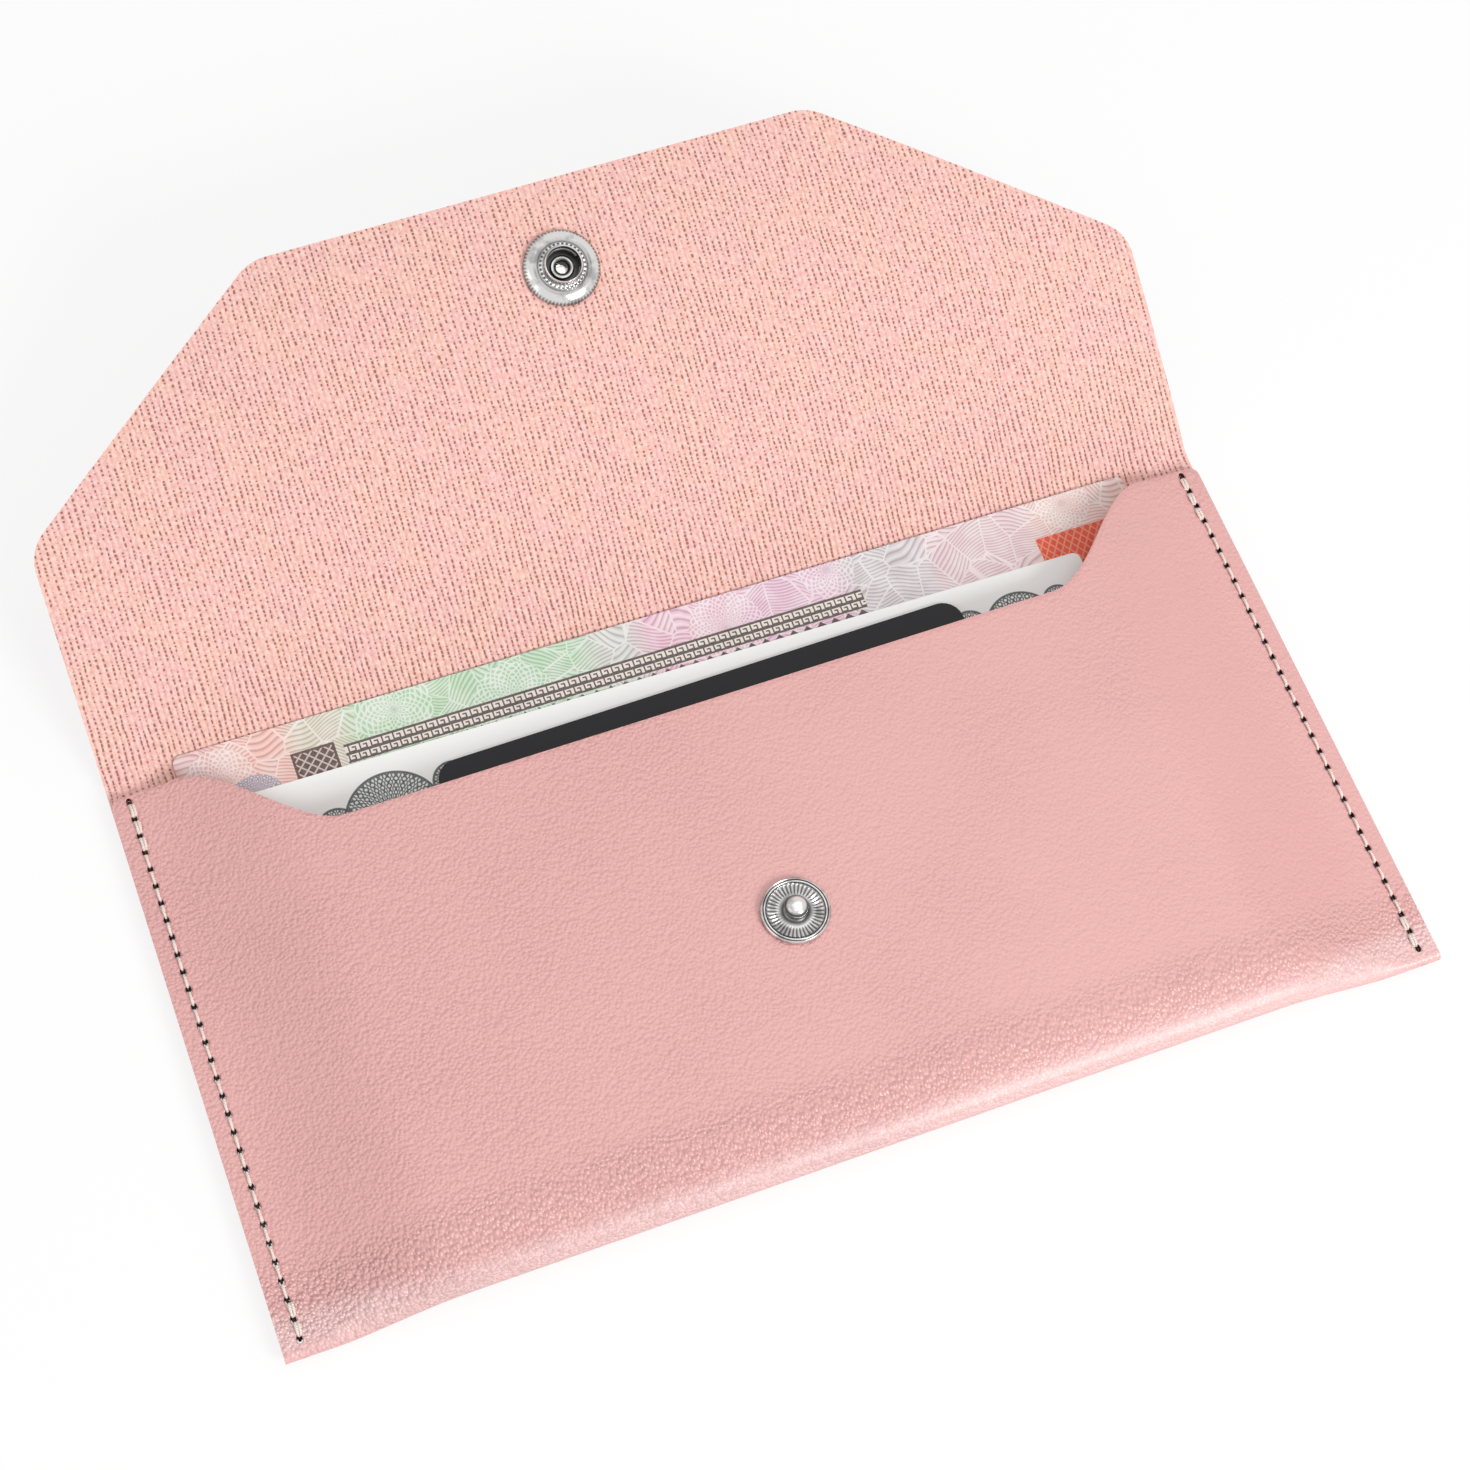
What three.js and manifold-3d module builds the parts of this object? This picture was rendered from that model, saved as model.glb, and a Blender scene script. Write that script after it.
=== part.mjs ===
// Envelope wallet: one leather sheet folded up at the bottom, stitched down both sides, with a snap flap.
// Millimetres. X runs across the wallet, Y from the bottom fold towards the flap, Z up from the table.
// The origin is the middle of the back panel's underside.
import * as THREE from 'three';
import { mergeVertices } from 'three/addons/utils/BufferGeometryUtils.js';
import Module from 'manifold-3d';

// Leather sheet
const SHEET = 0.9;
const BODY_WIDTH = 178;
const BODY_HEIGHT = 90;
const POUCH_DEPTH = 7.3;

// Side seams
const SEAM_BAND = 4.6;
const SEAM_GAP = 0.3;
const SEAM_LIFT = 1.0;
const BACK_RAMP = 5;
const FRONT_RAMP = 22;
const STITCH_INSET = 2.8;
const STITCH_PITCH = 2.85;
const STITCH_START = 2.0;
const STITCH_END = 2.4;
const STITCH_HOLE_RADIUS = 0.6;
const THREAD_RADIUS = 0.22;
const THREAD_CLEARANCE = 0.08;

// Bottom fold
const FOLD_REACH = 9;
const FOLD_PULL = 0.6;
const FOLD_STEPS = 10;

// Mouth of the pouch
const LIP_DROP = 16.2;
const EAR_DROP = 0.9;
const EAR_WIDTH = 10;
const EAR_RUN = 22;
const EAR_CORNER = 1.5;

// Flap
const CREASE_GAP = 0.3;
const CREASE_LENGTH = 4;
const FLAP_RISE_DEG = 37.1;
const FLAP_ARCH_DEG_PER_MM = 0.3;
const FLAP_LENGTH = 72.0;
const FLAP_SIDE = 39.1;
const FLAP_TIP_WIDTH = 90.2;
const FLAP_SIDE_RADIUS = 7;
const FLAP_TIP_RADIUS = 8;
const FLAP_LIFT_FADE = 25;
const FLAP_ROW = 7;

// Snap fastener
const SOCKET_FROM_CREASE = 57.9;
const STUD_FROM_CREASE = 52.8;
const SOCKET_RADIUS = 6.0;
const SOCKET_HEIGHT = 3.2;
const SOCKET_FLOOR = 0.45;
const SOCKET_BORE_RADIUS = 2.65;
const SPRING_WIRE_RADIUS = 0.32;
const SPRING_CLEARANCE = 0.3;
const SPRING_SPLIT_DEG = 40;
const CAP_RADIUS = 6.2;
const CAP_HEIGHT = 1.7;
const CAP_POST_RADIUS = 1.4;
const CAP_POST_BORE = 0.95;
const CAP_FLARE_RADIUS = 1.9;
const CAP_FLARE_THICKNESS = 0.3;
const STUD_RADIUS = 5.2;
const STUD_HEIGHT = 3.2;
const STUD_BALL_RADIUS = 1.8;
const STUD_HOLLOW_DEPTH = 1.5;
const POST_RADIUS = 1.1;
const POST_FLANGE_RADIUS = 4.2;
const POST_FLANGE_THICKNESS = 0.5;
const SNAP_SEAT_GAP = 0.12;
const SNAP_HOLE_CLEARANCE = 0.25;
const LATHE_SEGMENTS = 24;

// Contents of the pocket
const NOTE_SIDE_ROOM = 6.4;
const NOTE_LENGTH = BODY_WIDTH - 2 * (SEAM_BAND + NOTE_SIDE_ROOM);
const NOTE_HEIGHT = 66.3;
const FRONT_NOTE_SIDE_ROOM = 14.4;
const FRONT_NOTE_LENGTH = BODY_WIDTH - 2 * (SEAM_BAND + FRONT_NOTE_SIDE_ROOM);
const NOTE_THICKNESS = 0.12;
const NOTE_CORNER = 1.2;
const CARD_LENGTH = 85.6;
const CARD_HEIGHT = 54;
const CARD_THICKNESS = 0.76;
const CARD_CORNER = 3.2;
const LAY_GAP = 0.08;
const REAR_NOTE_TOP = 0.2;
const REAR_NOTE_SHIFT = -0.4;
const REAR_NOTE_TURN_DEG = -0.5;
const FRONT_NOTE_DROP = 6.9;
const FRONT_NOTE_SHIFT = -4.4;
const FRONT_NOTE_TURN_DEG = -1.1;
const CARD_DROP = 10.3;
const CARD_SHIFT = 0.9;
const CARD_TURN_DEG = 0.5;

const HALF_WIDTH = BODY_WIDTH / 2;
const CREASE_Y = BODY_HEIGHT / 2;
const SEAM_INNER = HALF_WIDTH - SEAM_BAND;
const FRONT_OUTSIDE = POUCH_DEPTH;
const FRONT_INSIDE = POUCH_DEPTH - SHEET;
const SEAM_TOP = SEAM_LIFT + 2 * SHEET + SEAM_GAP;
const STUD_Y = CREASE_Y - STUD_FROM_CREASE;
const TAU = 2 * Math.PI;

const leather = new THREE.MeshStandardMaterial({ color: 0xe6b2ac, roughness: 0.45, metalness: 0 });
const metal = new THREE.MeshStandardMaterial({ color: 0xd8d8d6, roughness: 0.22, metalness: 1 });
const springWire = new THREE.MeshStandardMaterial({ color: 0xb9b9b6, roughness: 0.35, metalness: 1 });
const thread = new THREE.MeshStandardMaterial({ color: 0xe9cdbd, roughness: 0.8, metalness: 0 });
const printedPaper = new THREE.MeshStandardMaterial({ color: 0xd9d3c4, roughness: 0.75, metalness: 0 });
const whitePaper = new THREE.MeshStandardMaterial({ color: 0xf1f2ee, roughness: 0.75, metalness: 0 });
const cardPlastic = new THREE.MeshStandardMaterial({ color: 0x2f3234, roughness: 0.4, metalness: 0 });

const wasm = await Module();
wasm.setup();

const radians = THREE.MathUtils.degToRad;

// How far x is through the step from a to b, eased at both ends, from 0 to 1
function ease(a, b, x) {
  return THREE.MathUtils.smoothstep(x, a, b);
}

// Numbers evenly spread from a to b, both ends included
function spread(a, b, steps) {
  return Array.from({ length: steps + 1 }, (_, i) => a + ((b - a) * i) / steps);
}

// Positions only, shared vertices merged, no flat triangles, and every face pointing out
function closedBody(source) {
  const bare = source.clone();
  bare.deleteAttribute('normal');
  bare.deleteAttribute('uv');
  const merged = mergeVertices(bare, 1e-4);
  const position = merged.getAttribute('position');
  const corners = Array.from(merged.index.array);
  const [a, b, c] = [new THREE.Vector3(), new THREE.Vector3(), new THREE.Vector3()];
  const kept = [];
  let volume = 0;
  for (let i = 0; i < corners.length; i += 3) {
    const [i0, i1, i2] = corners.slice(i, i + 3);
    if (i0 !== i1 && i1 !== i2 && i2 !== i0) {
      kept.push(i0, i1, i2);
      a.fromBufferAttribute(position, i0);
      b.fromBufferAttribute(position, i1);
      c.fromBufferAttribute(position, i2);
      volume += a.dot(b.cross(c));
    }
  }
  if (volume < 0) {
    kept.reverse();
  }
  merged.setIndex(kept);
  return merged;
}

function toManifold(geometry) {
  const body = closedBody(geometry);
  const vertProperties = new Float32Array(body.getAttribute('position').array);
  const triVerts = new Uint32Array(body.index.array);
  return new wasm.Manifold(new wasm.Mesh({ numProp: 3, vertProperties, triVerts }));
}

function toGeometry(manifold) {
  const { vertProperties, triVerts } = manifold.getMesh();
  const geometry = new THREE.BufferGeometry();
  geometry.setAttribute('position', new THREE.BufferAttribute(vertProperties, 3));
  geometry.setIndex(new THREE.BufferAttribute(triVerts, 1));
  return geometry;
}

function cutAway(geometry, cutters) {
  let body = toManifold(geometry);
  for (const cutter of cutters) {
    body = body.subtract(toManifold(cutter));
  }
  return toGeometry(body);
}

// A sheet of leather between two grids of points, closed round its four edges
function sheetBody(outside, inside) {
  const rows = outside.length;
  const columns = outside[0].length;
  const points = [...outside.flat(), ...inside.flat()];
  const index = [];
  const outer = (i, j) => i * columns + j;
  const inner = (i, j) => rows * columns + i * columns + j;
  const quad = (a, b, c, d) => index.push(a, b, c, a, c, d);
  for (let i = 0; i < rows - 1; i++) {
    for (let j = 0; j < columns - 1; j++) {
      quad(outer(i, j), outer(i + 1, j), outer(i + 1, j + 1), outer(i, j + 1));
      quad(inner(i, j), inner(i, j + 1), inner(i + 1, j + 1), inner(i + 1, j));
    }
    quad(outer(i, 0), inner(i, 0), inner(i + 1, 0), outer(i + 1, 0));
    const end = columns - 1;
    quad(outer(i, end), outer(i + 1, end), inner(i + 1, end), inner(i, end));
  }
  for (let j = 0; j < columns - 1; j++) {
    quad(outer(0, j), outer(0, j + 1), inner(0, j + 1), inner(0, j));
    const end = rows - 1;
    quad(outer(end, j), inner(end, j), inner(end, j + 1), outer(end, j + 1));
  }
  const geometry = new THREE.BufferGeometry().setFromPoints(points);
  geometry.setIndex(index);
  return closedBody(geometry);
}

// 0 in the middle of the wallet, 1 in the seam band
function backRamp(x) {
  return ease(SEAM_INNER - BACK_RAMP, SEAM_INNER, Math.abs(x));
}

function frontRamp(x) {
  return ease(SEAM_INNER - FRONT_RAMP, SEAM_INNER, Math.abs(x));
}

// Middle of the sheet's thickness, in the back panel and in the front panel
function backMiddle(x) {
  return SHEET / 2 + SEAM_LIFT * backRamp(x);
}

function frontMiddle(x) {
  const flat = FRONT_OUTSIDE - SHEET / 2;
  return THREE.MathUtils.lerp(flat, SEAM_TOP - SHEET / 2, frontRamp(x));
}

// The mouth's edge: low across the middle, rising in an S to an ear at each side seam
function lipY(x) {
  const earStart = HALF_WIDTH - EAR_WIDTH;
  const rise = (LIP_DROP - EAR_DROP) * ease(earStart - EAR_RUN, earStart, Math.abs(x));
  const intoCorner = Math.max(0, Math.abs(x) - (HALF_WIDTH - EAR_CORNER));
  const rounding = EAR_CORNER - Math.sqrt(EAR_CORNER ** 2 - intoCorner ** 2);
  return CREASE_Y - LIP_DROP + rise - rounding;
}

function pouchColumns() {
  const earStart = HALF_WIDTH - EAR_WIDTH;
  const half = [
    ...spread(earStart - EAR_RUN, SEAM_INNER - FRONT_RAMP, 6),
    ...spread(SEAM_INNER - FRONT_RAMP, SEAM_INNER, 8),
    ...spread(HALF_WIDTH - EAR_CORNER, HALF_WIDTH, 2),
  ];
  const distinct = [...new Set(half.map((x) => Number(x.toFixed(4))))].sort((a, b) => a - b);
  return [...distinct.map((x) => -x).reverse(), ...distinct];
}

// The points down the back panel, round the bottom fold and up the front panel, at one x
function pouchSection(x) {
  const low = backMiddle(x);
  const high = frontMiddle(x);
  const radius = (high - low) / 2;
  const reach = THREE.MathUtils.lerp(FOLD_REACH, radius, frontRamp(x));
  const bottom = -BODY_HEIGHT / 2 + SHEET / 2 + FOLD_PULL * (1 - frontRamp(x));
  const down = new THREE.Vector3(0, 0, -1);
  const up = new THREE.Vector3(0, 0, 1);
  const section = [{ middle: new THREE.Vector3(x, CREASE_Y, low), out: down }];
  for (const angle of spread(-Math.PI / 2, -1.5 * Math.PI, FOLD_STEPS)) {
    const y = bottom + reach * (1 + Math.cos(angle));
    const z = (low + high) / 2 + radius * Math.sin(angle);
    const out = new THREE.Vector3(0, Math.cos(angle) * radius, Math.sin(angle) * reach).normalize();
    section.push({ middle: new THREE.Vector3(x, y, z), out });
  }
  section.push({ middle: new THREE.Vector3(x, lipY(x), high), out: up });
  return section;
}

function sheetFromSections(sections) {
  const rows = sections[0].length;
  const grid = (side) => Array.from({ length: rows }, (_, i) => sections.map(
    (section) => section[i].middle.clone().addScaledVector(section[i].out, (side * SHEET) / 2),
  ));
  return sheetBody(grid(1), grid(-1));
}

// Stitch holes of one side seam, from the top down
function stitchRows() {
  const first = CREASE_Y - STITCH_START;
  const last = -BODY_HEIGHT / 2 + STITCH_END;
  const count = Math.round((first - last) / STITCH_PITCH);
  return spread(first, first - count * STITCH_PITCH, count);
}

function stitchHole(side, y) {
  const length = SEAM_TOP + 2;
  const hole = new THREE.CylinderGeometry(STITCH_HOLE_RADIUS, STITCH_HOLE_RADIUS, length, 6);
  hole.rotateX(Math.PI / 2);
  hole.translate(side * (HALF_WIDTH - STITCH_INSET), y, SEAM_TOP / 2);
  return hole;
}

function makePouchShell() {
  const sheet = sheetFromSections(pouchColumns().map(pouchSection));
  const holes = [-1, 1].flatMap((side) => stitchRows().map((y) => stitchHole(side, y)));
  const postHole = POST_RADIUS + SNAP_HOLE_CLEARANCE;
  const studHole = new THREE.CylinderGeometry(postHole, postHole, 2 * SHEET, 16);
  studHole.rotateX(Math.PI / 2);
  studHole.translate(0, STUD_Y, FRONT_OUTSIDE - SHEET / 2);
  return cutAway(sheet, [...holes, studHole]);
}

// One thread of a side seam: a run over each stitch, and a dip into each hole
class StitchPath extends THREE.Curve {
  constructor(side, surface, away) {
    super();
    const x = side * (HALF_WIDTH - STITCH_INSET);
    const over = surface + away * (THREAD_RADIUS + THREAD_CLEARANCE);
    const dip = surface - away * (SHEET - SEAM_GAP / 2);
    const shoulder = STITCH_HOLE_RADIUS * 0.75;
    const rows = stitchRows();
    this.points = [];
    for (const y of rows.slice(0, -1)) {
      this.points.push(new THREE.Vector3(x, y, dip));
      this.points.push(new THREE.Vector3(x, y - shoulder, over));
      this.points.push(new THREE.Vector3(x, y - STITCH_PITCH + shoulder, over));
    }
    this.points.push(new THREE.Vector3(x, rows.at(-1), dip));
  }

  getPoint(t) {
    const place = THREE.MathUtils.clamp(t, 0, 1) * (this.points.length - 1);
    const before = Math.min(Math.floor(place), this.points.length - 2);
    return this.points[before].clone().lerp(this.points[before + 1], place - before);
  }

  getPointAt(u) {
    return this.getPoint(u);
  }

  getTangentAt(u) {
    return this.getTangent(u);
  }
}

function makeThread(side, surface, away) {
  const path = new StitchPath(side, surface, away);
  const section = new THREE.Shape(
    spread(0, TAU, 6).slice(0, -1).map(
      (angle) => new THREE.Vector2(THREAD_RADIUS * Math.cos(angle), THREAD_RADIUS * Math.sin(angle)),
    ),
  );
  return closedBody(new THREE.ExtrudeGeometry(section, {
    steps: path.points.length - 1,
    extrudePath: path,
  }));
}

// Arc that rounds the corner at b between a and c, from the side of a to the side of c
function roundedCorner(a, b, c, radius, steps) {
  const toA = a.clone().sub(b).normalize();
  const toC = c.clone().sub(b).normalize();
  const half = toA.angleTo(toC) / 2;
  const tangent = radius / Math.tan(half);
  const bisector = toA.clone().add(toC).normalize();
  const centre = b.clone().addScaledVector(bisector, radius / Math.sin(half));
  const start = b.clone().addScaledVector(toA, tangent).sub(centre);
  const turn = Math.PI - 2 * half;
  const sense = Math.sign(toA.cross(toC));
  return spread(0, turn, steps).map(
    (angle) => start.clone().rotateAround(new THREE.Vector2(), -sense * angle).add(centre),
  );
}

// Rows of the flap laid flat: half width and distance from the crease
function flapRows() {
  const side = new THREE.Vector2(HALF_WIDTH, FLAP_SIDE);
  const tip = new THREE.Vector2(FLAP_TIP_WIDTH / 2, FLAP_LENGTH);
  const sideArc = roundedCorner(new THREE.Vector2(HALF_WIDTH, 0), side, tip, FLAP_SIDE_RADIUS, 4);
  const tipArc = roundedCorner(side, tip, new THREE.Vector2(0, FLAP_LENGTH), FLAP_TIP_RADIUS, 6);
  const straight = [
    ...spread(0, CREASE_LENGTH, 6).slice(0, -1),
    ...spread(CREASE_LENGTH, sideArc[0].y, Math.ceil((sideArc[0].y - CREASE_LENGTH) / FLAP_ROW)).slice(0, -1),
  ].map((along) => new THREE.Vector2(HALF_WIDTH, along));
  const from = sideArc.at(-1);
  const diagonal = spread(0, 1, Math.ceil((tipArc[0].y - from.y) / FLAP_ROW)).slice(1, -1).map(
    (share) => from.clone().lerp(tipArc[0], share),
  );
  return [...straight, ...sideArc, ...diagonal, ...tipArc];
}

// Slope of the flap at a distance from the crease: it bends up, then arches gently over
function flapSlope(along) {
  const rise = radians(FLAP_RISE_DEG);
  if (along < CREASE_LENGTH) {
    return (rise * along) / CREASE_LENGTH;
  }
  return rise - radians(FLAP_ARCH_DEG_PER_MM) * (along - CREASE_LENGTH);
}

// Middle of the flap's thickness at a distance from the crease, and its upper side's direction
function flapPlace(along) {
  const steps = 200;
  const place = new THREE.Vector3(0, CREASE_Y + CREASE_GAP, SHEET / 2);
  const step = along / steps;
  for (let i = 0; i < steps; i++) {
    const slope = flapSlope((i + 0.5) * step);
    place.y += Math.cos(slope) * step;
    place.z += Math.sin(slope) * step;
  }
  const slope = flapSlope(along);
  return { place, slope, up: new THREE.Vector3(0, -Math.sin(slope), Math.cos(slope)) };
}

function makeFlapPanel() {
  const shares = [SEAM_INNER - BACK_RAMP, SEAM_INNER - BACK_RAMP / 2, SEAM_INNER, HALF_WIDTH].map(
    (x) => x / HALF_WIDTH,
  );
  const columns = [...shares.map((share) => -share).reverse(), ...shares];
  const rows = flapRows().map((row) => ({ halfWidth: row.x, along: row.y, ...flapPlace(row.y) }));
  const sections = columns.map((share) => rows.map(({ halfWidth, along, place, up }) => {
    const x = share * halfWidth;
    const lift = SEAM_LIFT * backRamp(x) * (1 - ease(0, FLAP_LIFT_FADE, along));
    const middle = new THREE.Vector3(x, place.y, place.z + lift);
    return { middle, out: up.clone().negate() };
  }));
  const hole = CAP_POST_RADIUS + SNAP_HOLE_CLEARANCE;
  const cutter = new THREE.CylinderGeometry(hole, hole, 4 * SHEET, 16);
  cutter.rotateX(Math.PI / 2);
  const { place, slope } = flapPlace(SOCKET_FROM_CREASE);
  cutter.rotateX(slope);
  cutter.translate(place.x, place.y, place.z);
  return cutAway(sheetFromSections(sections), [cutter]);
}

// A turned piece: pairs of radius and height, about the Z axis
function turned(profile) {
  const points = profile.map(([radius, height]) => new THREE.Vector2(radius, height));
  const geometry = new THREE.LatheGeometry(points, LATHE_SEGMENTS);
  geometry.rotateX(Math.PI / 2);
  return closedBody(geometry);
}

// Snap pieces on the flap: height 0 is the flap's upper side, the leather lies below it
function makeSocket() {
  const base = SNAP_SEAT_GAP;
  const hole = CAP_POST_RADIUS + SNAP_HOLE_CLEARANCE;
  const groove = SOCKET_BORE_RADIUS + 2 * SPRING_WIRE_RADIUS - 0.1;
  const springHeight = socketSpringHeight();
  const grooveHalf = SPRING_WIRE_RADIUS + SPRING_CLEARANCE / 2;
  return turned([
    [hole, base],
    [SOCKET_RADIUS, base],
    [SOCKET_RADIUS, base + 0.45],
    [SOCKET_RADIUS - 0.35, base + 0.75],
    [SOCKET_RADIUS - 1.3, SOCKET_HEIGHT * 0.5],
    [SOCKET_BORE_RADIUS + 1.2, SOCKET_HEIGHT * 0.86],
    [SOCKET_BORE_RADIUS + 0.75, SOCKET_HEIGHT],
    [SOCKET_BORE_RADIUS + 0.25, SOCKET_HEIGHT],
    [SOCKET_BORE_RADIUS, SOCKET_HEIGHT - 0.25],
    [SOCKET_BORE_RADIUS, springHeight + grooveHalf],
    [groove, springHeight + grooveHalf],
    [groove, springHeight - grooveHalf],
    [SOCKET_BORE_RADIUS, springHeight - grooveHalf],
    [SOCKET_BORE_RADIUS, base + SOCKET_FLOOR],
    [hole, base + SOCKET_FLOOR],
    [hole, base],
  ]);
}

function socketSpringHeight() {
  return SOCKET_HEIGHT * 0.56;
}

// Split ring of wire in the socket's groove, which grips the stud's ball
function makeSpring() {
  const groove = SOCKET_BORE_RADIUS + 2 * SPRING_WIRE_RADIUS - 0.1;
  const radius = groove - SPRING_CLEARANCE / 2 - SPRING_WIRE_RADIUS;
  const split = radians(SPRING_SPLIT_DEG);
  class WireArc extends THREE.Curve {
    getPoint(t) {
      const angle = split / 2 + t * (TAU - split);
      return new THREE.Vector3(radius * Math.cos(angle), radius * Math.sin(angle), 0);
    }
  }
  const section = new THREE.Shape().absarc(0, 0, SPRING_WIRE_RADIUS, 0, TAU);
  const wire = new THREE.ExtrudeGeometry(section, {
    steps: 20,
    curveSegments: 4,
    extrudePath: new WireArc(),
  });
  wire.translate(0, 0, socketSpringHeight());
  return closedBody(wire);
}

function makeCap() {
  const under = -SHEET - SNAP_SEAT_GAP;
  const flare = SNAP_SEAT_GAP + SOCKET_FLOOR + SNAP_SEAT_GAP;
  return turned([
    [0, under - CAP_HEIGHT],
    [CAP_RADIUS * 0.45, under - CAP_HEIGHT * 0.94],
    [CAP_RADIUS * 0.8, under - CAP_HEIGHT * 0.7],
    [CAP_RADIUS * 0.97, under - CAP_HEIGHT * 0.35],
    [CAP_RADIUS, under - CAP_HEIGHT * 0.12],
    [CAP_RADIUS - 0.2, under],
    [CAP_POST_RADIUS, under],
    [CAP_POST_RADIUS, flare],
    [CAP_FLARE_RADIUS, flare],
    [CAP_FLARE_RADIUS, flare + CAP_FLARE_THICKNESS],
    [CAP_POST_BORE, flare + CAP_FLARE_THICKNESS],
    [CAP_POST_BORE, under - CAP_HEIGHT * 0.3],
    [0, under - CAP_HEIGHT * 0.3],
  ]);
}

// Snap pieces on the front panel: height 0 is the panel's outside
function makeStud() {
  const base = SNAP_SEAT_GAP;
  const ball = STUD_BALL_RADIUS;
  const top = STUD_HEIGHT;
  const hollow = POST_RADIUS + SNAP_HOLE_CLEARANCE;
  return turned([
    [0, STUD_HOLLOW_DEPTH],
    [hollow, STUD_HOLLOW_DEPTH],
    [hollow, base],
    [STUD_RADIUS - 0.2, base],
    [STUD_RADIUS, base + 0.3],
    [STUD_RADIUS - 0.1, base + 0.75],
    [STUD_RADIUS - 0.45, base + 0.85],
    [STUD_RADIUS - 0.85, base + 0.6],
    [ball + 0.95, base + 0.35],
    [ball + 0.75, base + 0.65],
    [ball + 0.3, base + 0.7],
    [ball - 0.3, base + 0.75],
    [ball - 0.32, top * 0.4],
    [ball - 0.05, top * 0.5],
    [ball, top * 0.62],
    [ball - 0.12, top * 0.78],
    [ball - 0.5, top * 0.92],
    [ball - 1.1, top * 0.99],
    [0, top],
  ]);
}

function makePost() {
  const under = -SHEET - SNAP_SEAT_GAP;
  const top = STUD_HOLLOW_DEPTH - SNAP_SEAT_GAP;
  return turned([
    [0, under - POST_FLANGE_THICKNESS],
    [POST_FLANGE_RADIUS - 0.2, under - POST_FLANGE_THICKNESS],
    [POST_FLANGE_RADIUS, under - POST_FLANGE_THICKNESS / 2],
    [POST_FLANGE_RADIUS - 0.1, under],
    [POST_RADIUS, under],
    [POST_RADIUS, top - 0.2],
    [POST_RADIUS - 0.2, top],
    [0, top],
  ]);
}

// A flat rounded rectangle lying in the pocket, held by the middle of its top edge
function flatPiece(length, height, thickness, corner) {
  const shape = new THREE.Shape();
  const half = length / 2;
  shape.moveTo(-half + corner, -height);
  shape.lineTo(half - corner, -height);
  shape.absarc(half - corner, -height + corner, corner, -Math.PI / 2, 0);
  shape.absarc(half - corner, -corner, corner, 0, Math.PI / 2);
  shape.absarc(-half + corner, -corner, corner, Math.PI / 2, Math.PI);
  shape.absarc(-half + corner, -height + corner, corner, Math.PI, 1.5 * Math.PI);
  return closedBody(new THREE.ExtrudeGeometry(shape, {
    depth: thickness,
    bevelEnabled: false,
    curveSegments: 4,
  }));
}

const wallet = new THREE.Group();

function add(parent, name, geometry, material) {
  const mesh = new THREE.Mesh(geometry, material);
  mesh.name = name;
  parent.add(mesh);
  return mesh;
}

function addFlat(name, geometry, material, { x, y, z, turnDeg }) {
  const mesh = add(wallet, name, geometry, material);
  mesh.position.set(x, y, z);
  mesh.rotation.z = radians(turnDeg);
}

add(wallet, 'pouch_shell', makePouchShell(), leather);
add(wallet, 'flap_panel', makeFlapPanel(), leather);

for (const [label, side] of [['left', -1], ['right', 1]]) {
  add(wallet, `needle_thread_${label}`, makeThread(side, SEAM_TOP, 1), thread);
  add(wallet, `bobbin_thread_${label}`, makeThread(side, SEAM_LIFT, -1), thread);
}

const flapSnap = new THREE.Group();
const snapSeat = flapPlace(SOCKET_FROM_CREASE);
flapSnap.position.copy(snapSeat.place).addScaledVector(snapSeat.up, SHEET / 2);
flapSnap.rotation.x = snapSeat.slope;
wallet.add(flapSnap);
add(flapSnap, 'snap_cap', makeCap(), metal);
add(flapSnap, 'snap_socket', makeSocket(), metal);
add(flapSnap, 'snap_spring', makeSpring(), springWire);

const panelSnap = new THREE.Group();
panelSnap.position.set(0, STUD_Y, FRONT_OUTSIDE);
wallet.add(panelSnap);
add(panelSnap, 'snap_stud', makeStud(), metal);
add(panelSnap, 'snap_post', makePost(), metal);

const rearNoteZ = SHEET + LAY_GAP;
const frontNoteZ = rearNoteZ + NOTE_THICKNESS + LAY_GAP;
const cardZ = frontNoteZ + NOTE_THICKNESS + LAY_GAP;
addFlat('banknote_rear', flatPiece(NOTE_LENGTH, NOTE_HEIGHT, NOTE_THICKNESS, NOTE_CORNER), printedPaper, {
  x: REAR_NOTE_SHIFT,
  y: CREASE_Y + REAR_NOTE_TOP,
  z: rearNoteZ,
  turnDeg: REAR_NOTE_TURN_DEG,
});
addFlat('banknote_front', flatPiece(FRONT_NOTE_LENGTH, NOTE_HEIGHT, NOTE_THICKNESS, NOTE_CORNER), whitePaper, {
  x: FRONT_NOTE_SHIFT,
  y: CREASE_Y - FRONT_NOTE_DROP,
  z: frontNoteZ,
  turnDeg: FRONT_NOTE_TURN_DEG,
});
addFlat('card', flatPiece(CARD_LENGTH, CARD_HEIGHT, CARD_THICKNESS, CARD_CORNER), cardPlastic, {
  x: CARD_SHIFT,
  y: CREASE_Y - CARD_DROP,
  z: cardZ,
  turnDeg: CARD_TURN_DEG,
});

export default wallet;
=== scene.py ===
"""Cash envelope wallet: one leather sheet with a knit lining, a ring snap, two banknotes and a card.

Sizes in the classes are millimetres, and each finished mesh is in metres. X runs across the wallet,
Y from the bottom fold towards the flap, and Z up from the table.
"""

from __future__ import annotations

import logging
import math
from dataclasses import dataclass, field
from enum import Enum, IntEnum
from typing import Any, Callable, Iterable, Sequence

import bmesh
import bpy
from mathutils import Matrix, Vector


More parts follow.
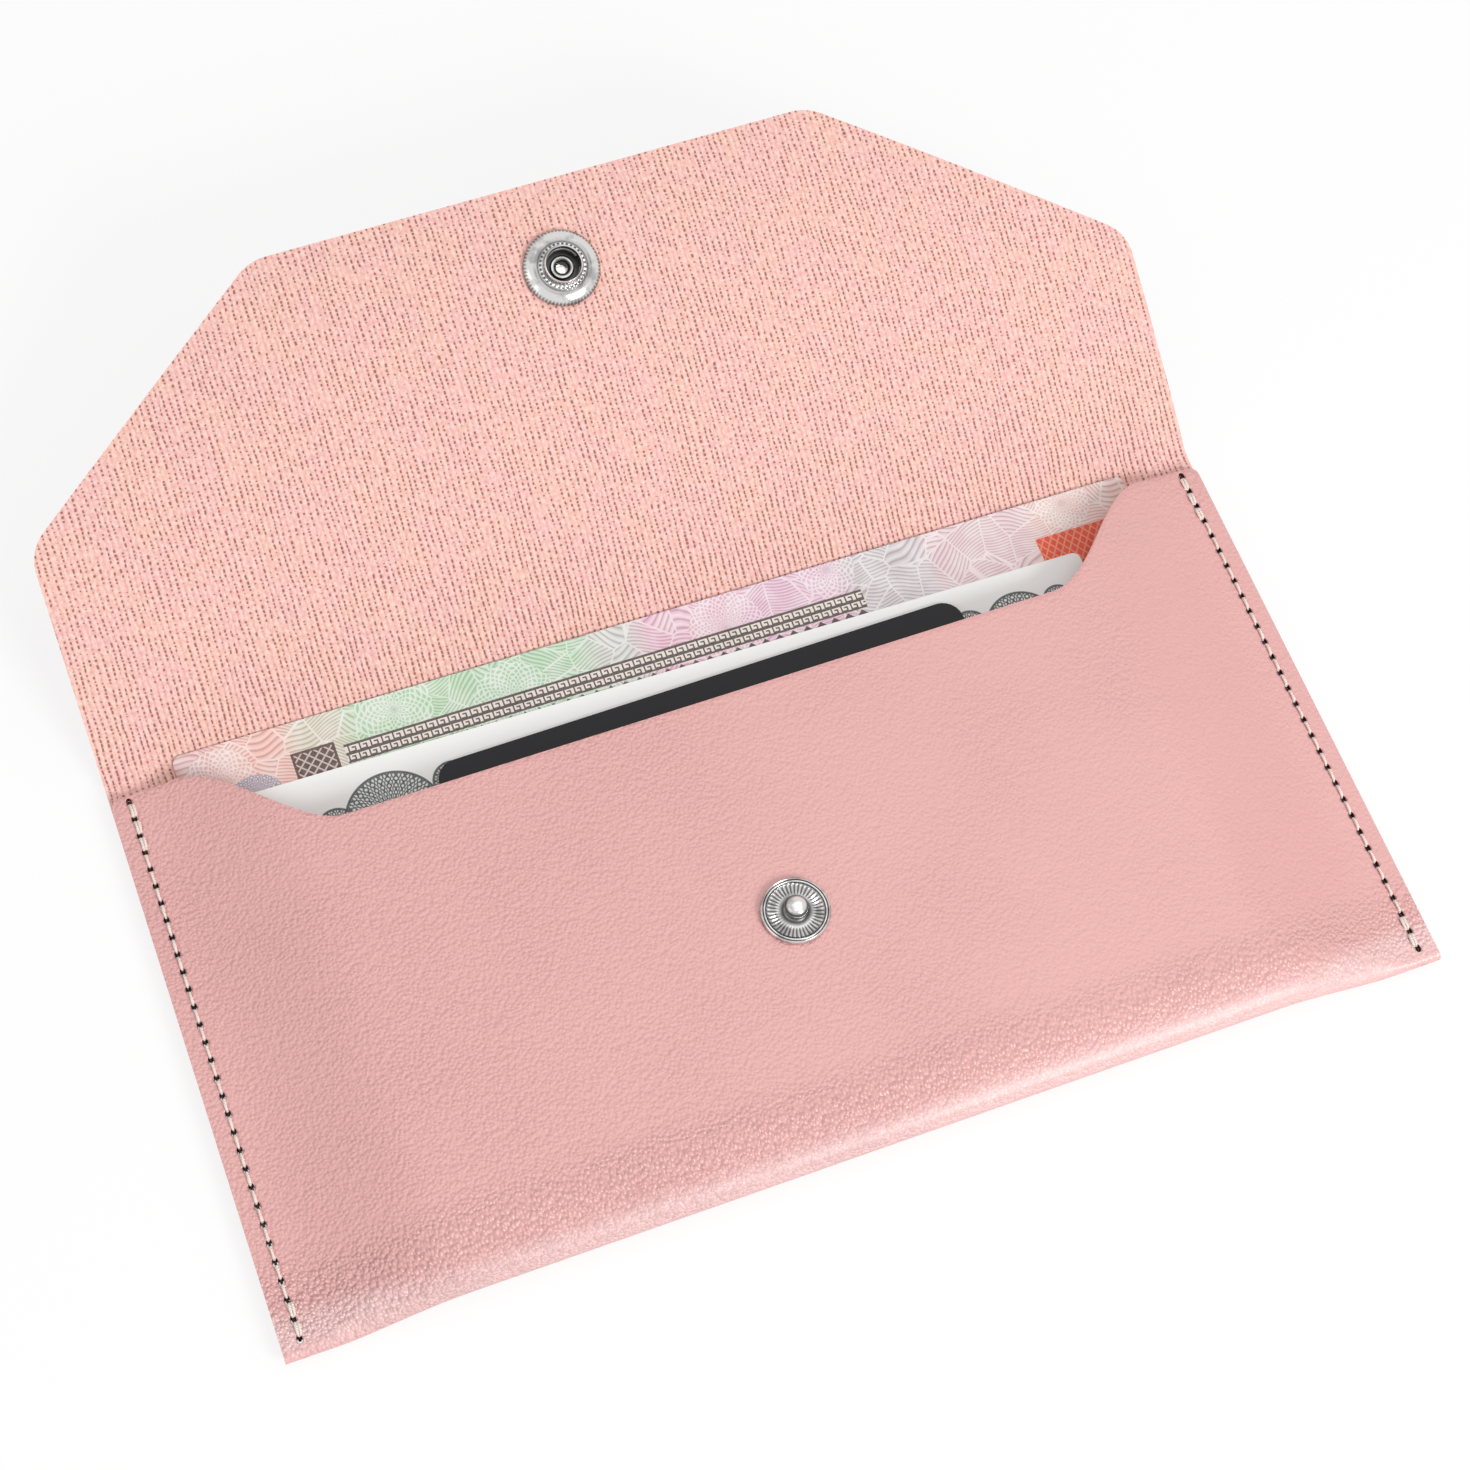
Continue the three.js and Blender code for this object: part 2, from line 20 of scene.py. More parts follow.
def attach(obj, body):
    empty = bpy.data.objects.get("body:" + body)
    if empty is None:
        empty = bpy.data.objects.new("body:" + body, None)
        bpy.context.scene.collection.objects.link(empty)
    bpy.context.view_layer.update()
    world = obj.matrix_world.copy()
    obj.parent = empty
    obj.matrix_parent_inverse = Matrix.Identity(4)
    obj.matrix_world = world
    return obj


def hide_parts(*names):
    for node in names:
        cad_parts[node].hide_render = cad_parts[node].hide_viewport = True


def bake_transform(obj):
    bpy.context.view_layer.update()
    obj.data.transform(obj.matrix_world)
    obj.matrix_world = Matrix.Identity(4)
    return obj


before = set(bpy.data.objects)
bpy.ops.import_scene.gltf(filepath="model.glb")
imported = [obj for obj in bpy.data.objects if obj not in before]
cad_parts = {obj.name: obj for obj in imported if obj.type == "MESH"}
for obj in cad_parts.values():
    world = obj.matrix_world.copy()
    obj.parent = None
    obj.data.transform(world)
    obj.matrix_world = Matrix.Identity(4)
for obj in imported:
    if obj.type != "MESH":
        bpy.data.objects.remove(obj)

MM = 0.001
HALF_WIDTH = 89.0
CREASE_Y = 45.0
LEATHER = 0.9
POCKET_DEPTH = 7.3
SEAM_LIFT = 1.0
SEAM_TOP = 3.1
RIM_DEGREES = 55
SHARP_DEGREES = 40
LOG = logging.getLogger("wallet")
Colour = tuple[float, float, float]
WHITE: Colour = (1.0, 1.0, 1.0)


def srgb(red: int, green: int, blue: int) -> Colour:
    """Turn a screen colour into a linear one.

    Args:
        red: Red, from 0 to 255.
        green: Green, from 0 to 255.
        blue: Blue, from 0 to 255.

    Returns:
        The linear colour, from 0 to 1.
    """
    def linear(value: int) -> float:
        """Return one channel from 0 to 1."""
        share = value / 255
        return share / 12.92 if share <= 0.04045 else ((share + 0.055) / 1.055) ** 2.4
    return linear(red), linear(green), linear(blue)


def ease(start: float, end: float, value: float) -> float:
    """Return how far value is through the step from start to end, eased at both ends."""
    share = min(1.0, max(0.0, (value - start) / (end - start)))
    return share * share * (3 - 2 * share)


def spread(start: float, end: float, steps: int) -> list[float]:
    """Return steps + 1 numbers evenly from start to end."""
    return [start + (end - start) * i / steps for i in range(steps + 1)]


def operation(name: str, swapped: bool = False) -> Callable[..., Signal]:
    """Return a method of Signal that adds one Math node.

    Args:
        name: The Math node's operation.
        swapped: Puts self last, for a reflected operator.

    Returns:
        The method, which takes the node's other inputs.
    """
    def method(self: Signal, *others: Any) -> Signal:
        """Add the node and return its result."""
        values = (*others, self) if swapped else (self, *others)
        return self.graph.add("ShaderNodeMath", {"operation": name}, dict(enumerate(values)))

    return method


class Signal:
    """A node's output that can be used in plain sums while a finish is being wired."""

    __add__ = operation("ADD")
    __radd__ = operation("ADD", swapped=True)
    __sub__ = operation("SUBTRACT")
    __rsub__ = operation("SUBTRACT", swapped=True)
    __mul__ = operation("MULTIPLY")
    __rmul__ = operation("MULTIPLY", swapped=True)
    __truediv__ = operation("DIVIDE")
    __abs__ = operation("ABSOLUTE")
    sine = operation("SINE")
    whole = operation("FLOOR")
    fraction = operation("FRACT")
    root = operation("SQRT")
    above = operation("GREATER_THAN")
    most = operation("MAXIMUM")
    least = operation("MINIMUM")

    def __init__(self, graph: Graph, socket: bpy.types.NodeSocket | None) -> None:
        """Remember the graph and the output socket."""
        self.graph = graph
        self.socket = socket

    def between(self, low: float, high: float) -> Signal:
        """Return 1 where self lies between low and high, and 0 elsewhere."""
        return self.above(low) * (1 - self.above(high))

    def from_nearest(self, pitch: float, first: float = 0.0) -> Signal:
        """Return the distance to the nearest of a row of places, pitch apart, of which first is one."""
        return abs(((self - first) / pitch + 0.5).fraction() - 0.5) * pitch

    def step(self, low: Any, high: Any, to_low: float = 0.0, to_high: float = 1.0) -> Signal:
        """Map self from low..high to to_low..to_high with an eased, clamped step."""
        return self.graph.add(
            "ShaderNodeMapRange",
            {"interpolation_type": "SMOOTHSTEP"},
            {"Value": self, "From Min": low, "From Max": high, "To Min": to_low, "To Max": to_high},
        )


class Graph:
    """The nodes of one material or world."""

    def __init__(self, name: str, kind: str = "materials") -> None:
        """Start an empty node tree.

        Args:
            name: Name of its owner.
            kind: The collection of bpy.data that the owner belongs to.
        """
        self.owner = getattr(bpy.data, kind).new(name)
        self.owner.use_nodes = True
        self.tree = self.owner.node_tree
        self.tree.nodes.clear()

    def add(
        self,
        kind: str,
        settings: dict[str, Any] | None = None,
        inputs: dict[str | int, Any] | None = None,
        output: str | int = 0,
    ) -> Signal:
        """Add any node.

        Args:
            kind: The node's type name.
            settings: The node's own settings, which are set first.
            inputs: Values or signals by input name or place, which are set next.
            output: Name or place of the output to hand back.

        Returns:
            The chosen output.
        """
        node = self.tree.nodes.new(kind)
        for key, value in (settings or {}).items():
            setattr(node, key, value)
        for key, value in (inputs or {}).items():
            socket = self._open(node.inputs, key)
            if isinstance(value, Signal):
                self.tree.links.new(value.socket, socket)
            elif socket.type == "RGBA" and len(value) == 3:
                socket.default_value = (*value, 1.0)
            else:
                socket.default_value = value
        return Signal(self, self._open(node.outputs, output) if node.outputs else None)

    @staticmethod
    def _open(sockets: Any, key: str | int) -> bpy.types.NodeSocket:
        """Find a socket among those in use.

        Args:
            sockets: A node's inputs or outputs.
            key: The socket's name, or its place among those in use.

        Returns:
            The socket.
        """
        in_use = [socket for socket in sockets if socket.enabled]
        if isinstance(key, int):
            return in_use[key]
        return next(socket for socket in in_use if socket.name == key)

    def _in_millimetres(self, place: Signal) -> Signal:
        """Return coordinates in metres as millimetres."""
        return self.add("ShaderNodeVectorMath", {"operation": "SCALE"}, {"Vector": place, "Scale": 1 / MM})

    def flat(self, layer: str) -> Signal:
        """Return a UV map's coordinates in millimetres."""
        return self._in_millimetres(self.add("ShaderNodeUVMap", {"uv_map": layer}))

    def solid(self) -> Signal:
        """Return the object's own coordinates in millimetres."""
        return self._in_millimetres(self.add("ShaderNodeTexCoord", output="Object"))

    def split(self, vector: Signal) -> tuple[Signal, Signal, Signal]:
        """Take a vector apart.

        Args:
            vector: The vector.

        Returns:
            Its three parts.
        """
        x = self.add("ShaderNodeSeparateXYZ", inputs={"Vector": vector})
        outputs = x.socket.node.outputs
        return x, Signal(self, outputs[1]), Signal(self, outputs[2])

    def join(self, x: Any, y: Any, z: Any = 0.0) -> Signal:
        """Return a vector made of three parts."""
        return self.add("ShaderNodeCombineXYZ", inputs={"X": x, "Y": y, "Z": z})

    def noise(self, vector: Signal, size: float, detail: float = 2.0, rough: float = 0.5) -> Signal:
        """Return soft noise from 0 to 1, with blotches of a size in millimetres and finer layers."""
        return self.add(
            "ShaderNodeTexNoise",
            inputs={"Vector": vector, "Scale": 1 / size, "Detail": detail, "Roughness": rough},
        )

    def cells(self, vector: Signal, size: float, feature: str = "F1", output: str = "Distance") -> Signal:
        """Return the distance or colour of a pattern of cells of a size in millimetres."""
        return self.add(
            "ShaderNodeTexVoronoi", {"feature": feature}, {"Vector": vector, "Scale": 1 / size}, output,
        )

    def mix(self, factor: Any, first: Any, second: Any) -> Signal:
        """Return the colour that lies between first, at factor 0, and second, at factor 1."""
        return self.add(
            "ShaderNodeMix", {"data_type": "RGBA"}, {"Factor": factor, "A": first, "B": second},
        )

    def bump(self, height: Signal, distance: float, strength: float = 1.0) -> Signal:
        """Return a normal bent by a height of 0 to 1, which stands for distance in millimetres."""
        return self.add(
            "ShaderNodeBump",
            inputs={"Height": height, "Distance": distance * MM, "Strength": strength},
        )

    def surface(self, **sockets: Any) -> bpy.types.Material:
        """Close the graph with a principled surface, its sockets named with underscores for spaces."""
        inputs = {name.replace("_", " "): value for name, value in sockets.items()}
        return self.close(self.add("ShaderNodeBsdfPrincipled", inputs=inputs))

    def close(self, shader: Signal, output: str = "ShaderNodeOutputMaterial") -> Any:
        """Send a shader to an output node and return the graph's owner."""
        self.add(output, inputs={"Surface": shader})
        return self.owner


@dataclass(frozen=True)
class StitchLine:
    """Where the holes of a side seam lie on the flat sheet."""

    across: float = HALF_WIDTH - 2.8
    pitch: float = 2.85
    back_first: float = -2.0
    back_last: float = -87.6
    front_first: float = -177.79
    front_last: float = -92.19

    def distance(self, flat_x: Signal, flat_y: Signal) -> Signal:
        """Measure how far a place is from the nearest hole of either panel.

        Args:
            flat_x: Place across the flat sheet.
            flat_y: Place along the flat sheet.

        Returns:
            The distance in millimetres.
        """
        sideways = abs(flat_x) - self.across
        to_back = flat_y.from_nearest(self.pitch, self.back_first)
        to_front = flat_y.from_nearest(self.pitch, self.front_first)
        on_back = flat_y.above((self.back_last + self.front_last) / 2)
        along = to_front + (to_back - to_front) * on_back
        beyond = flat_y.above(self.back_first + 1.2) * 10
        return (sideways * sideways + along * along).root() + beyond


@dataclass(frozen=True)
class LeatherFinish:
    """Pink coated leather with a fine pressed grain."""

    colour: Colour = srgb(224, 166, 162)
    deep: Colour = srgb(198, 140, 138)
    fold_middle: float = -96.5
    # Where the painted highlight band runs along the flat sheet.
    painted_highlight_middle: float = -93.2
    stitches: StitchLine = StitchLine()

    def material(self) -> bpy.types.Material:
        """Build the leather of the sheet's outer side.

        Returns:
            The material.
        """
        graph = Graph("pink_leather")
        flat = graph.flat("flat")
        flat_x, flat_y, _ = graph.split(flat)
        cloud = graph.noise(flat, 28.0, 3.0)
        pebble = 1 - graph.cells(flat, 0.54)
        swell = graph.noise(flat, 1.7, 2.0)
        fine = graph.noise(flat, 0.28, 2.0, 0.6)
        near_fold = abs(flat_y - self.fold_middle).step(2.0, 9.0, 0.6, 0.0)
        grain = 0.22 + flat_x.step(-80.0, 50.0, 0.4, 0.0) + cloud.step(0.45, 0.7) * 0.16 + near_fold
        # Mask for the pit round each stitch hole, which shapes its dent and its painted shade.
        pit_and_painted_shade = self.stitches.distance(flat_x, flat_y).step(0.4, 0.75)
        tone = cloud.step(0.3, 0.72) * 0.12 + (1 - pebble) * grain * 0.2
        pink = graph.mix(tone, self.colour, self.deep)
        # Painted highlight: a pale band along the bottom fold, where the light catches the fold.
        pale = abs(flat_y - self.painted_highlight_middle).step(1.0, 4.2, 0.3, 0.0)
        pink = graph.mix(pale, pink, srgb(255, 232, 230))
        # Painted shade: the leather darkens towards each stitch hole, in the pit round it.
        pink = graph.mix((1 - pit_and_painted_shade) * 0.45, pink, srgb(150, 86, 84))
        height = pebble * grain * 0.34 + swell * 0.07 + fine * 0.05 + pit_and_painted_shade * 0.2
        return graph.surface(
            Base_Color=pink,
            Roughness=0.3 + fine * 0.1,
            Specular_IOR_Level=0.85,
            Coat_Weight=0.5,
            Coat_Roughness=0.3,
            Normal=graph.bump(height, 1.0, 1.0),
        )


@dataclass(frozen=True)
class KnitFinish:
    """Fine mottled knit on the sheet's inner side, with thin gaps between its wales."""

    pink: Colour = srgb(245, 193, 187)
    peach: Colour = srgb(248, 199, 180)
    gap: Colour = srgb(142, 72, 62)
    wale: float = 0.92
    course: float = 0.72

    def material(self) -> bpy.types.Material:
        """Build the knit.

        Returns:
            The material.
        """
        graph = Graph("knit_lining")
        flat = graph.flat("flat")
        flat_x, flat_y, _ = graph.split(flat)
        wander = graph.noise(graph.join(flat_x * 0.2, flat_y * 0.06), 1.0, 2.0) - 0.5
        shiver = graph.noise(graph.join(flat_x * 0.9, flat_y * 0.7), 1.0, 1.0) - 0.5
        across = flat_x + wander * 1.4 + shiver * 0.3
        from_gap = across.from_nearest(self.wale)
        column = (across / self.wale + 0.5).whole()
        drift = graph.noise(graph.join(column * 0.37, flat_y * 0.3), 1.0, 2.0) * 3.0
        course = flat_y / self.course + column * 0.618 + drift
        from_hole = abs(course.fraction() - 0.5)
        near_crease = flat_y.step(3.0, 24.0, 1.0, 0.0)
        broken = graph.noise(graph.join(column * 1.7, flat_y * 0.5), 1.0, 3.0, 0.7)
        reach = broken.step(0.36, 0.6, -0.1, 0.32) + near_crease * 0.08
        hole = (1 - from_gap.step(0.05, 0.2)) * (1 - from_hole.step(reach - 0.06, reach + 0.08))
        seam = (1 - from_gap.step(0.0, 0.24)) * (0.15 + near_crease * 0.1)
        blotch = graph.noise(graph.join(flat_x * 0.12, flat_y * 0.1), 1.0, 3.0, 0.6).step(0.4, 0.62)
        speck = graph.noise(graph.join(flat_x * 2.2, flat_y * 1.3), 1.0, 2.0, 0.7)
        yarn = graph.mix(blotch * 0.55, self.pink, self.peach)
        yarn = graph.mix(speck.step(0.46, 0.66) * 0.38, yarn, srgb(230, 156, 141))
        yarn = graph.mix(speck.step(0.54, 0.38) * 0.4, yarn, srgb(255, 230, 216))
        yarn = graph.mix((hole * 0.84).most(seam), yarn, self.gap)
        height = from_gap.step(0.0, 0.42) * 0.6 + speck * 0.5 - hole * 0.6
        return graph.surface(
            Base_Color=yarn,
            Roughness=0.86,
            Sheen_Weight=0.2,
            Sheen_Roughness=0.5,
            Normal=graph.bump(height, 0.18, 0.9),
        )


@dataclass(frozen=True)
class EdgeFinish:
    """Painted cut edge of the sheet."""

    name: str = "cut_edge"
    colour: Colour = srgb(222, 166, 162)
    fibre: Colour = srgb(205, 148, 144)

    def material(self) -> bpy.types.Material:
        """Build the edge paint.

        Returns:
            The material.
        """
        graph = Graph(self.name)
        place = graph.solid()
        fibre = graph.noise(place, 0.4, 3.0)
        tone = graph.mix(fibre.step(0.3, 0.8), self.colour, self.fibre)
        return graph.surface(Base_Color=tone, Roughness=0.62, Normal=graph.bump(fibre, 0.08, 0.6))


@dataclass(frozen=True)
class ThreadFinish:
    """Twisted sewing thread, with painted shade where it passes through the holes."""

    colour: Colour = srgb(255, 245, 238)
    middle: float = (SEAM_TOP + SEAM_LIFT) / 2

    def material(self) -> bpy.types.Material:
        """Build the thread.

        Returns:
            The material.
        """
        graph = Graph("sewing_thread")
        x, along, z = graph.split(graph.solid())
        twist = ((along + (x + z) * 0.9) * (math.tau / 0.42)).sine()
        tone = graph.mix(twist.step(-1.0, 0.2), srgb(240, 216, 204), self.colour)
        # Painted shade: the thread turns dark brown at heights between the stitched layers, where it runs
        # through the holes.
        inside = abs(z - self.middle).step(0.9, 0.7, 0.0, 1.0)
        tone = graph.mix(inside * 0.9, tone, srgb(70, 34, 32))
        return graph.surface(Base_Color=tone, Roughness=0.7, Normal=graph.bump(twist, 0.05, 0.8))


class Plating(Enum):
    """Metals of the snap, each with its colour and roughness."""

    NICKEL = ((0.7, 0.69, 0.675), 0.12)
    SPRING = ((0.4, 0.39, 0.38), 0.3)

    def material(self) -> bpy.types.Material:
        """Build the metal, darkened and duller where painted shade and painted reflections lie, most in
        its grooves.

        Returns:
            The material.
        """
        colour, rough = self.value
        graph = Graph(f"{self.name.lower()}_metal")
        place = graph.solid()
        hollow = graph.add("ShaderNodeAttribute", {"attribute_name": "hollow"}, output="Fac")
        smudge = graph.noise(place, 2.4, 3.0)
        scratch = graph.noise(place, 0.3, 3.0, 0.7)
        tone = graph.mix(smudge.step(0.46, 0.64) * 0.5, colour, tuple(c * 0.25 for c in colour))
        # Painted shade and painted reflections darken the metal nearly to black.
        tone = graph.mix(hollow, tone, (0.02, 0.02, 0.022))
        return graph.surface(
            Base_Color=tone,
            Metallic=1.0,
            Roughness=rough + smudge.step(0.4, 0.8) * 0.1 + hollow * 0.25,
            Normal=graph.bump(scratch, 0.012, 0.5),
        )


@dataclass(frozen=True)
class PrintedNoteFinish:
    """Pastel note print of bands, lattices and line rosettes, all made up for this note."""

    ink: Colour = srgb(50, 38, 38)

    def lattice(self, x: Signal, y: Signal, pitch: float, width: float) -> Signal:
        """Draw a slanting lattice.

        Args:
            x: Place across.
            y: Place along.
            pitch: Distance between lines.
            width: Half the width of a line.

        Returns:
            1 on its lines, and 0 elsewhere.
        """
        first = (x + y).from_nearest(pitch)
        second = (x - y).from_nearest(pitch)
        return 1 - first.least(second).step(width * 0.6, width * 1.4)

    def meander(self, x: Signal, y: Signal, height: float, line: float) -> Signal:
        """Draw a key pattern that runs along x from y = 0 to y = height.

        Args:
            x: Place along the band.
            y: Place up the band.
            height: Height of the band.
            line: Width of a line.

        Returns:
            1 on its lines, and 0 elsewhere.
        """
        pitch = height * 1.25
        along = (x / pitch).fraction() * pitch
        hook, sill = pitch * 0.72, height * 0.36
        bars = (
            (0.0, pitch, 0.0, line),
            (0.0, line, 0.0, height),
            (0.0, hook, height - line, height),
            (hook - line, hook, sill, height),
            (pitch * 0.34, hook, sill, sill + line),
        )
        mask: Any = 0.0
        for left, right, low, high in bars:
            mask = (along.between(left, right) * y.between(low, high)).most(mask)
        return mask

    def rosette(
        self,
        graph: Graph,
        x: Signal,
        y: Signal,
        place: tuple[float, float, float],
        petals: int,
        pitch: float,
    ) -> Signal:
        """Draw a round rosette of fine turned lines.

        Args:
            graph: The material's graph.
            x: Place across.
            y: Place along.
            place: Centre across, centre along, and radius.
            petals: Number of waves round the rosette.
            pitch: Distance between its lines.

        Returns:
            1 on its lines, and 0 elsewhere.
        """
        dx, dy = x - place[0], y - place[1]
        away = (dx * dx + dy * dy).root()
        angle = graph.add("ShaderNodeMath", {"operation": "ARCTAN2"}, {0: dy, 1: dx})
        inward = ((angle * petals).sine() * (pitch * 0.9) + away).from_nearest(pitch)
        outward = ((angle * -petals).sine() * (pitch * 0.9) + away).from_nearest(pitch)
        line = 1 - inward.least(outward).step(pitch * 0.1, pitch * 0.24)
        return line * (1 - away.above(place[2]))

    def hatching(self, graph: Graph, x: Signal, y: Signal) -> tuple[Signal, Signal]:
        """Draw a ground of hatched facets.

        Args:
            graph: The material's graph.
            x: Place across.
            y: Place along.

        Returns:
            Masks of the pale and of the dark lines.
        """
        place = graph.join(x, y)
        facet, line = 5.2, 0.62
        turn, lean, _ = graph.split(graph.cells(place, facet, "F1", "Color"))
        edge = graph.cells(place, facet, "DISTANCE_TO_EDGE")
        sway = (x * 0.9).sine() * 0.25
        run = x * (turn * 1.6 - 0.8) + y * (lean + 0.4) + sway
        pale = 1 - run.from_nearest(line).step(0.04, 0.16)
        dark = 1 - run.from_nearest(line, 0.28).step(0.03, 0.13)
        rim = 1 - edge.step(0.012, 0.03)
        return (pale * 0.6).most(rim * 0.9), dark * (1 - rim)

    def material(self) -> bpy.types.Material:
        """Build the print of the coloured note.

        Returns:
            The material.
        """
        graph = Graph("printed_note")
        x, y, _ = graph.split(graph.flat("print"))
        top = -1 * y
        fibre = graph.noise(graph.flat("print"), 0.5, 3.0)
        washes = (
            (-78.0, srgb(228, 176, 174)),
            (-66.0, srgb(240, 186, 174)),
            (-55.0, srgb(214, 206, 186)),
            (-48.0, srgb(176, 212, 172)),
            (-16.0, srgb(176, 210, 176)),
            (-9.0, srgb(206, 206, 200)),
            (0.0, srgb(230, 180, 200)),
            (24.0, srgb(226, 182, 204)),
            (34.0, srgb(204, 196, 200)),
            (52.0, srgb(226, 196, 200)),
            (70.0, srgb(238, 202, 194)),
        )
        wash: Any = washes[0][1]
        for (start, _), (end, colour) in zip(washes, washes[1:]):
            middle = (start + end) / 2
            wash = graph.mix(x.step(middle - 2.5, middle + 2.5), wash, colour)
        cloud = graph.noise(graph.flat("print"), 4.0, 2.0).step(0.4, 0.65)
        wash = graph.mix(cloud * 0.3, wash, (0.93, 0.91, 0.9))
        light, dark = self.hatching(graph, x, top)
        for place, petals in (
            ((-72.0, 6.0, 5.5), 7), ((-44.0, 2.5, 6.0), 5), ((-26.0, 7.0, 6.5), 8),
            ((9.0, 5.5, 6.0), 9), ((27.0, 1.0, 4.5), 5), ((67.0, 1.5, 4.5), 7),
            ((0.0, 34.0, 16.0), 12),
        ):
            across, down = x - place[0], top - place[1]
            inside = 1 - (across * across + down * down).root().above(place[2])
            fine = self.rosette(graph, x, top, place, petals, 1.0)
            light = light * (1 - inside) + fine
            dark = dark * (1 - inside) + (inside - fine) * 0.35
        tint = graph.mix(dark * 0.45, wash, srgb(128, 116, 122))
        tint = graph.mix(light * 0.5, tint, (0.93, 0.92, 0.91))
        run = x.between(-53.0, 31.0)
        low = top - 5.8
        key = self.meander(x, low, 1.4, 0.24).most(self.meander(x + 0.8, low - 1.5, 1.3, 0.24))
        band = graph.mix(low.between(-0.15, 2.95) * run, tint, srgb(232, 222, 214))
        beads = (x.from_nearest(2.3) + abs(low - 4.1)).step(0.95, 0.8, 0.0, 1.0)
        ink = key.most(abs(low - 1.4).step(0.16, 0.08)).most(abs(low).step(0.22, 0.12))
        ink = (ink * low.between(-0.2, 2.9)).most(abs(low - 2.9).step(0.2, 0.12)).most(beads)
        printed = graph.mix(ink * run * 0.92, band, self.ink)
        block = x.between(-61.0, -54.2) * top.between(4.6, 12.5)
        printed = graph.mix(block * 0.95, printed, srgb(84, 54, 54))
        grid = x.between(-60.6, -54.6) * top.between(5.0, 12.1) * self.lattice(x, top, 1.6, 0.17)
        printed = graph.mix(grid * 0.7, printed, (0.78, 0.7, 0.66))
        weave = x.between(60.5, 72.5) * top.between(6.2, 12.5)
        printed = graph.mix(weave * 0.97, printed, srgb(224, 70, 42))
        lines = weave * self.lattice(x * 1.4, top, 1.9, 0.2)
        printed = graph.mix(lines * 0.6, printed, srgb(246, 176, 138))
        across, down = x + 67.5, top - 9.2
        oval = 1 - (across * across * 0.6 + down * down).root().step(3.0, 3.2)
        printed = graph.mix(oval * 0.85, printed, srgb(214, 208, 222))
        lines = oval * self.rosette(graph, x, top, (-67.5, 9.2, 4.2), 9, 0.8)
        printed = graph.mix(lines * 0.5, printed, self.ink)
        printed = graph.mix(fibre.step(0.3, 0.8) * 0.1, printed, srgb(226, 216, 204))
        return graph.surface(Base_Color=printed, Roughness=0.68, Normal=graph.bump(light, 0.04, 0.7))


@dataclass(frozen=True)
class WhiteNoteFinish(PrintedNoteFinish):
    """White note with grey-green engraved ornament."""

    paper: Colour = srgb(250, 251, 249)
    ink: Colour = srgb(44, 54, 54)

    def material(self) -> bpy.types.Material:
        """Build the print of the white note.

        Returns:
            The material.
        """
        graph = Graph("white_note")
        x, y, _ = graph.split(graph.flat("print"))
        top = -1 * y
        fibre = graph.noise(graph.flat("print"), 0.5, 3.0)
        ink: Any = 0.0
        shade: Any = 0.0
        for place, petals, pitch in (
            ((-45.0, 10.4, 7.4), 16, 1.15), ((-35.0, 7.2, 3.0), 8, 0.9), ((-53.6, 9.4, 3.0), 9, 0.9),
            ((57.0, 9.4, 5.6), 13, 1.1), ((49.0, 7.4, 2.8), 8, 0.9), ((64.0, 7.0, 2.4), 7, 0.9),
        ):
            dx, dy = x - place[0], top - place[1]
            away = (dx * dx + dy * dy).root()
            inside = 1 - away.step(place[2] - 0.1, place[2])
            fine = self.rosette(graph, x, top, place, petals, pitch)
            ink = (ink * (1 - inside)).most(fine).most(1 - abs(away - place[2]).step(0.12, 0.26))
            shade = inside.most(shade)
        tone = graph.mix(shade * 0.28, self.paper, srgb(160, 176, 170))
        tone = graph.mix(ink * 0.92, tone, self.ink)
        rule = (1 - abs(top - 14.0).step(0.1, 0.2)) * abs(x).between(-1.0, 66.0)
        tone = graph.mix(rule * 0.6, tone, self.ink)
        tone = graph.mix(fibre.step(0.3, 0.8) * 0.1, tone, srgb(236, 238, 234))
        return graph.surface(Base_Color=tone, Roughness=0.68, Normal=graph.bump(fibre, 0.03, 0.6))


@dataclass(frozen=True)
class CardFinish:
    """Near-black satin card."""

    colour: Colour = srgb(20, 23, 27)

    def material(self) -> bpy.types.Material:
        """Build the card's plastic.

        Returns:
            The material.
        """
        graph = Graph("black_card")
        place = graph.solid()
        haze = graph.noise(place, 9.0, 3.0)
        tooth = graph.noise(place, 0.18, 2.0)
        tone = graph.mix(haze.step(0.35, 0.8) * 0.5, self.colour, srgb(27, 30, 34))
        return graph.surface(
            Base_Color=tone,
            Roughness=0.5 + haze * 0.1,
            Specular_IOR_Level=0.35,
            Normal=graph.bump(tooth, 0.01, 0.5),
        )


def to_object(
    name: str, bm: bmesh.types.BMesh, materials: Sequence[bpy.types.Material]
) -> bpy.types.Object:
    """Turn a bmesh in millimetres into a smooth-shaded object in metres.

    Args:
        name: Name of the object.
        bm: The shape, which is used up.
        materials: Materials for the object's slots.

    Returns:
        The object, at the origin.
    """
    bmesh.ops.scale(bm, vec=(MM, MM, MM), verts=bm.verts)
    mesh = bpy.data.meshes.new(name)
    bm.to_mesh(mesh)
    bm.free()
    for material in materials:
        mesh.materials.append(material)
    mesh.shade_smooth()
    thing = bpy.data.objects.new(name, mesh)
    bpy.context.scene.collection.objects.link(thing)
    return thing


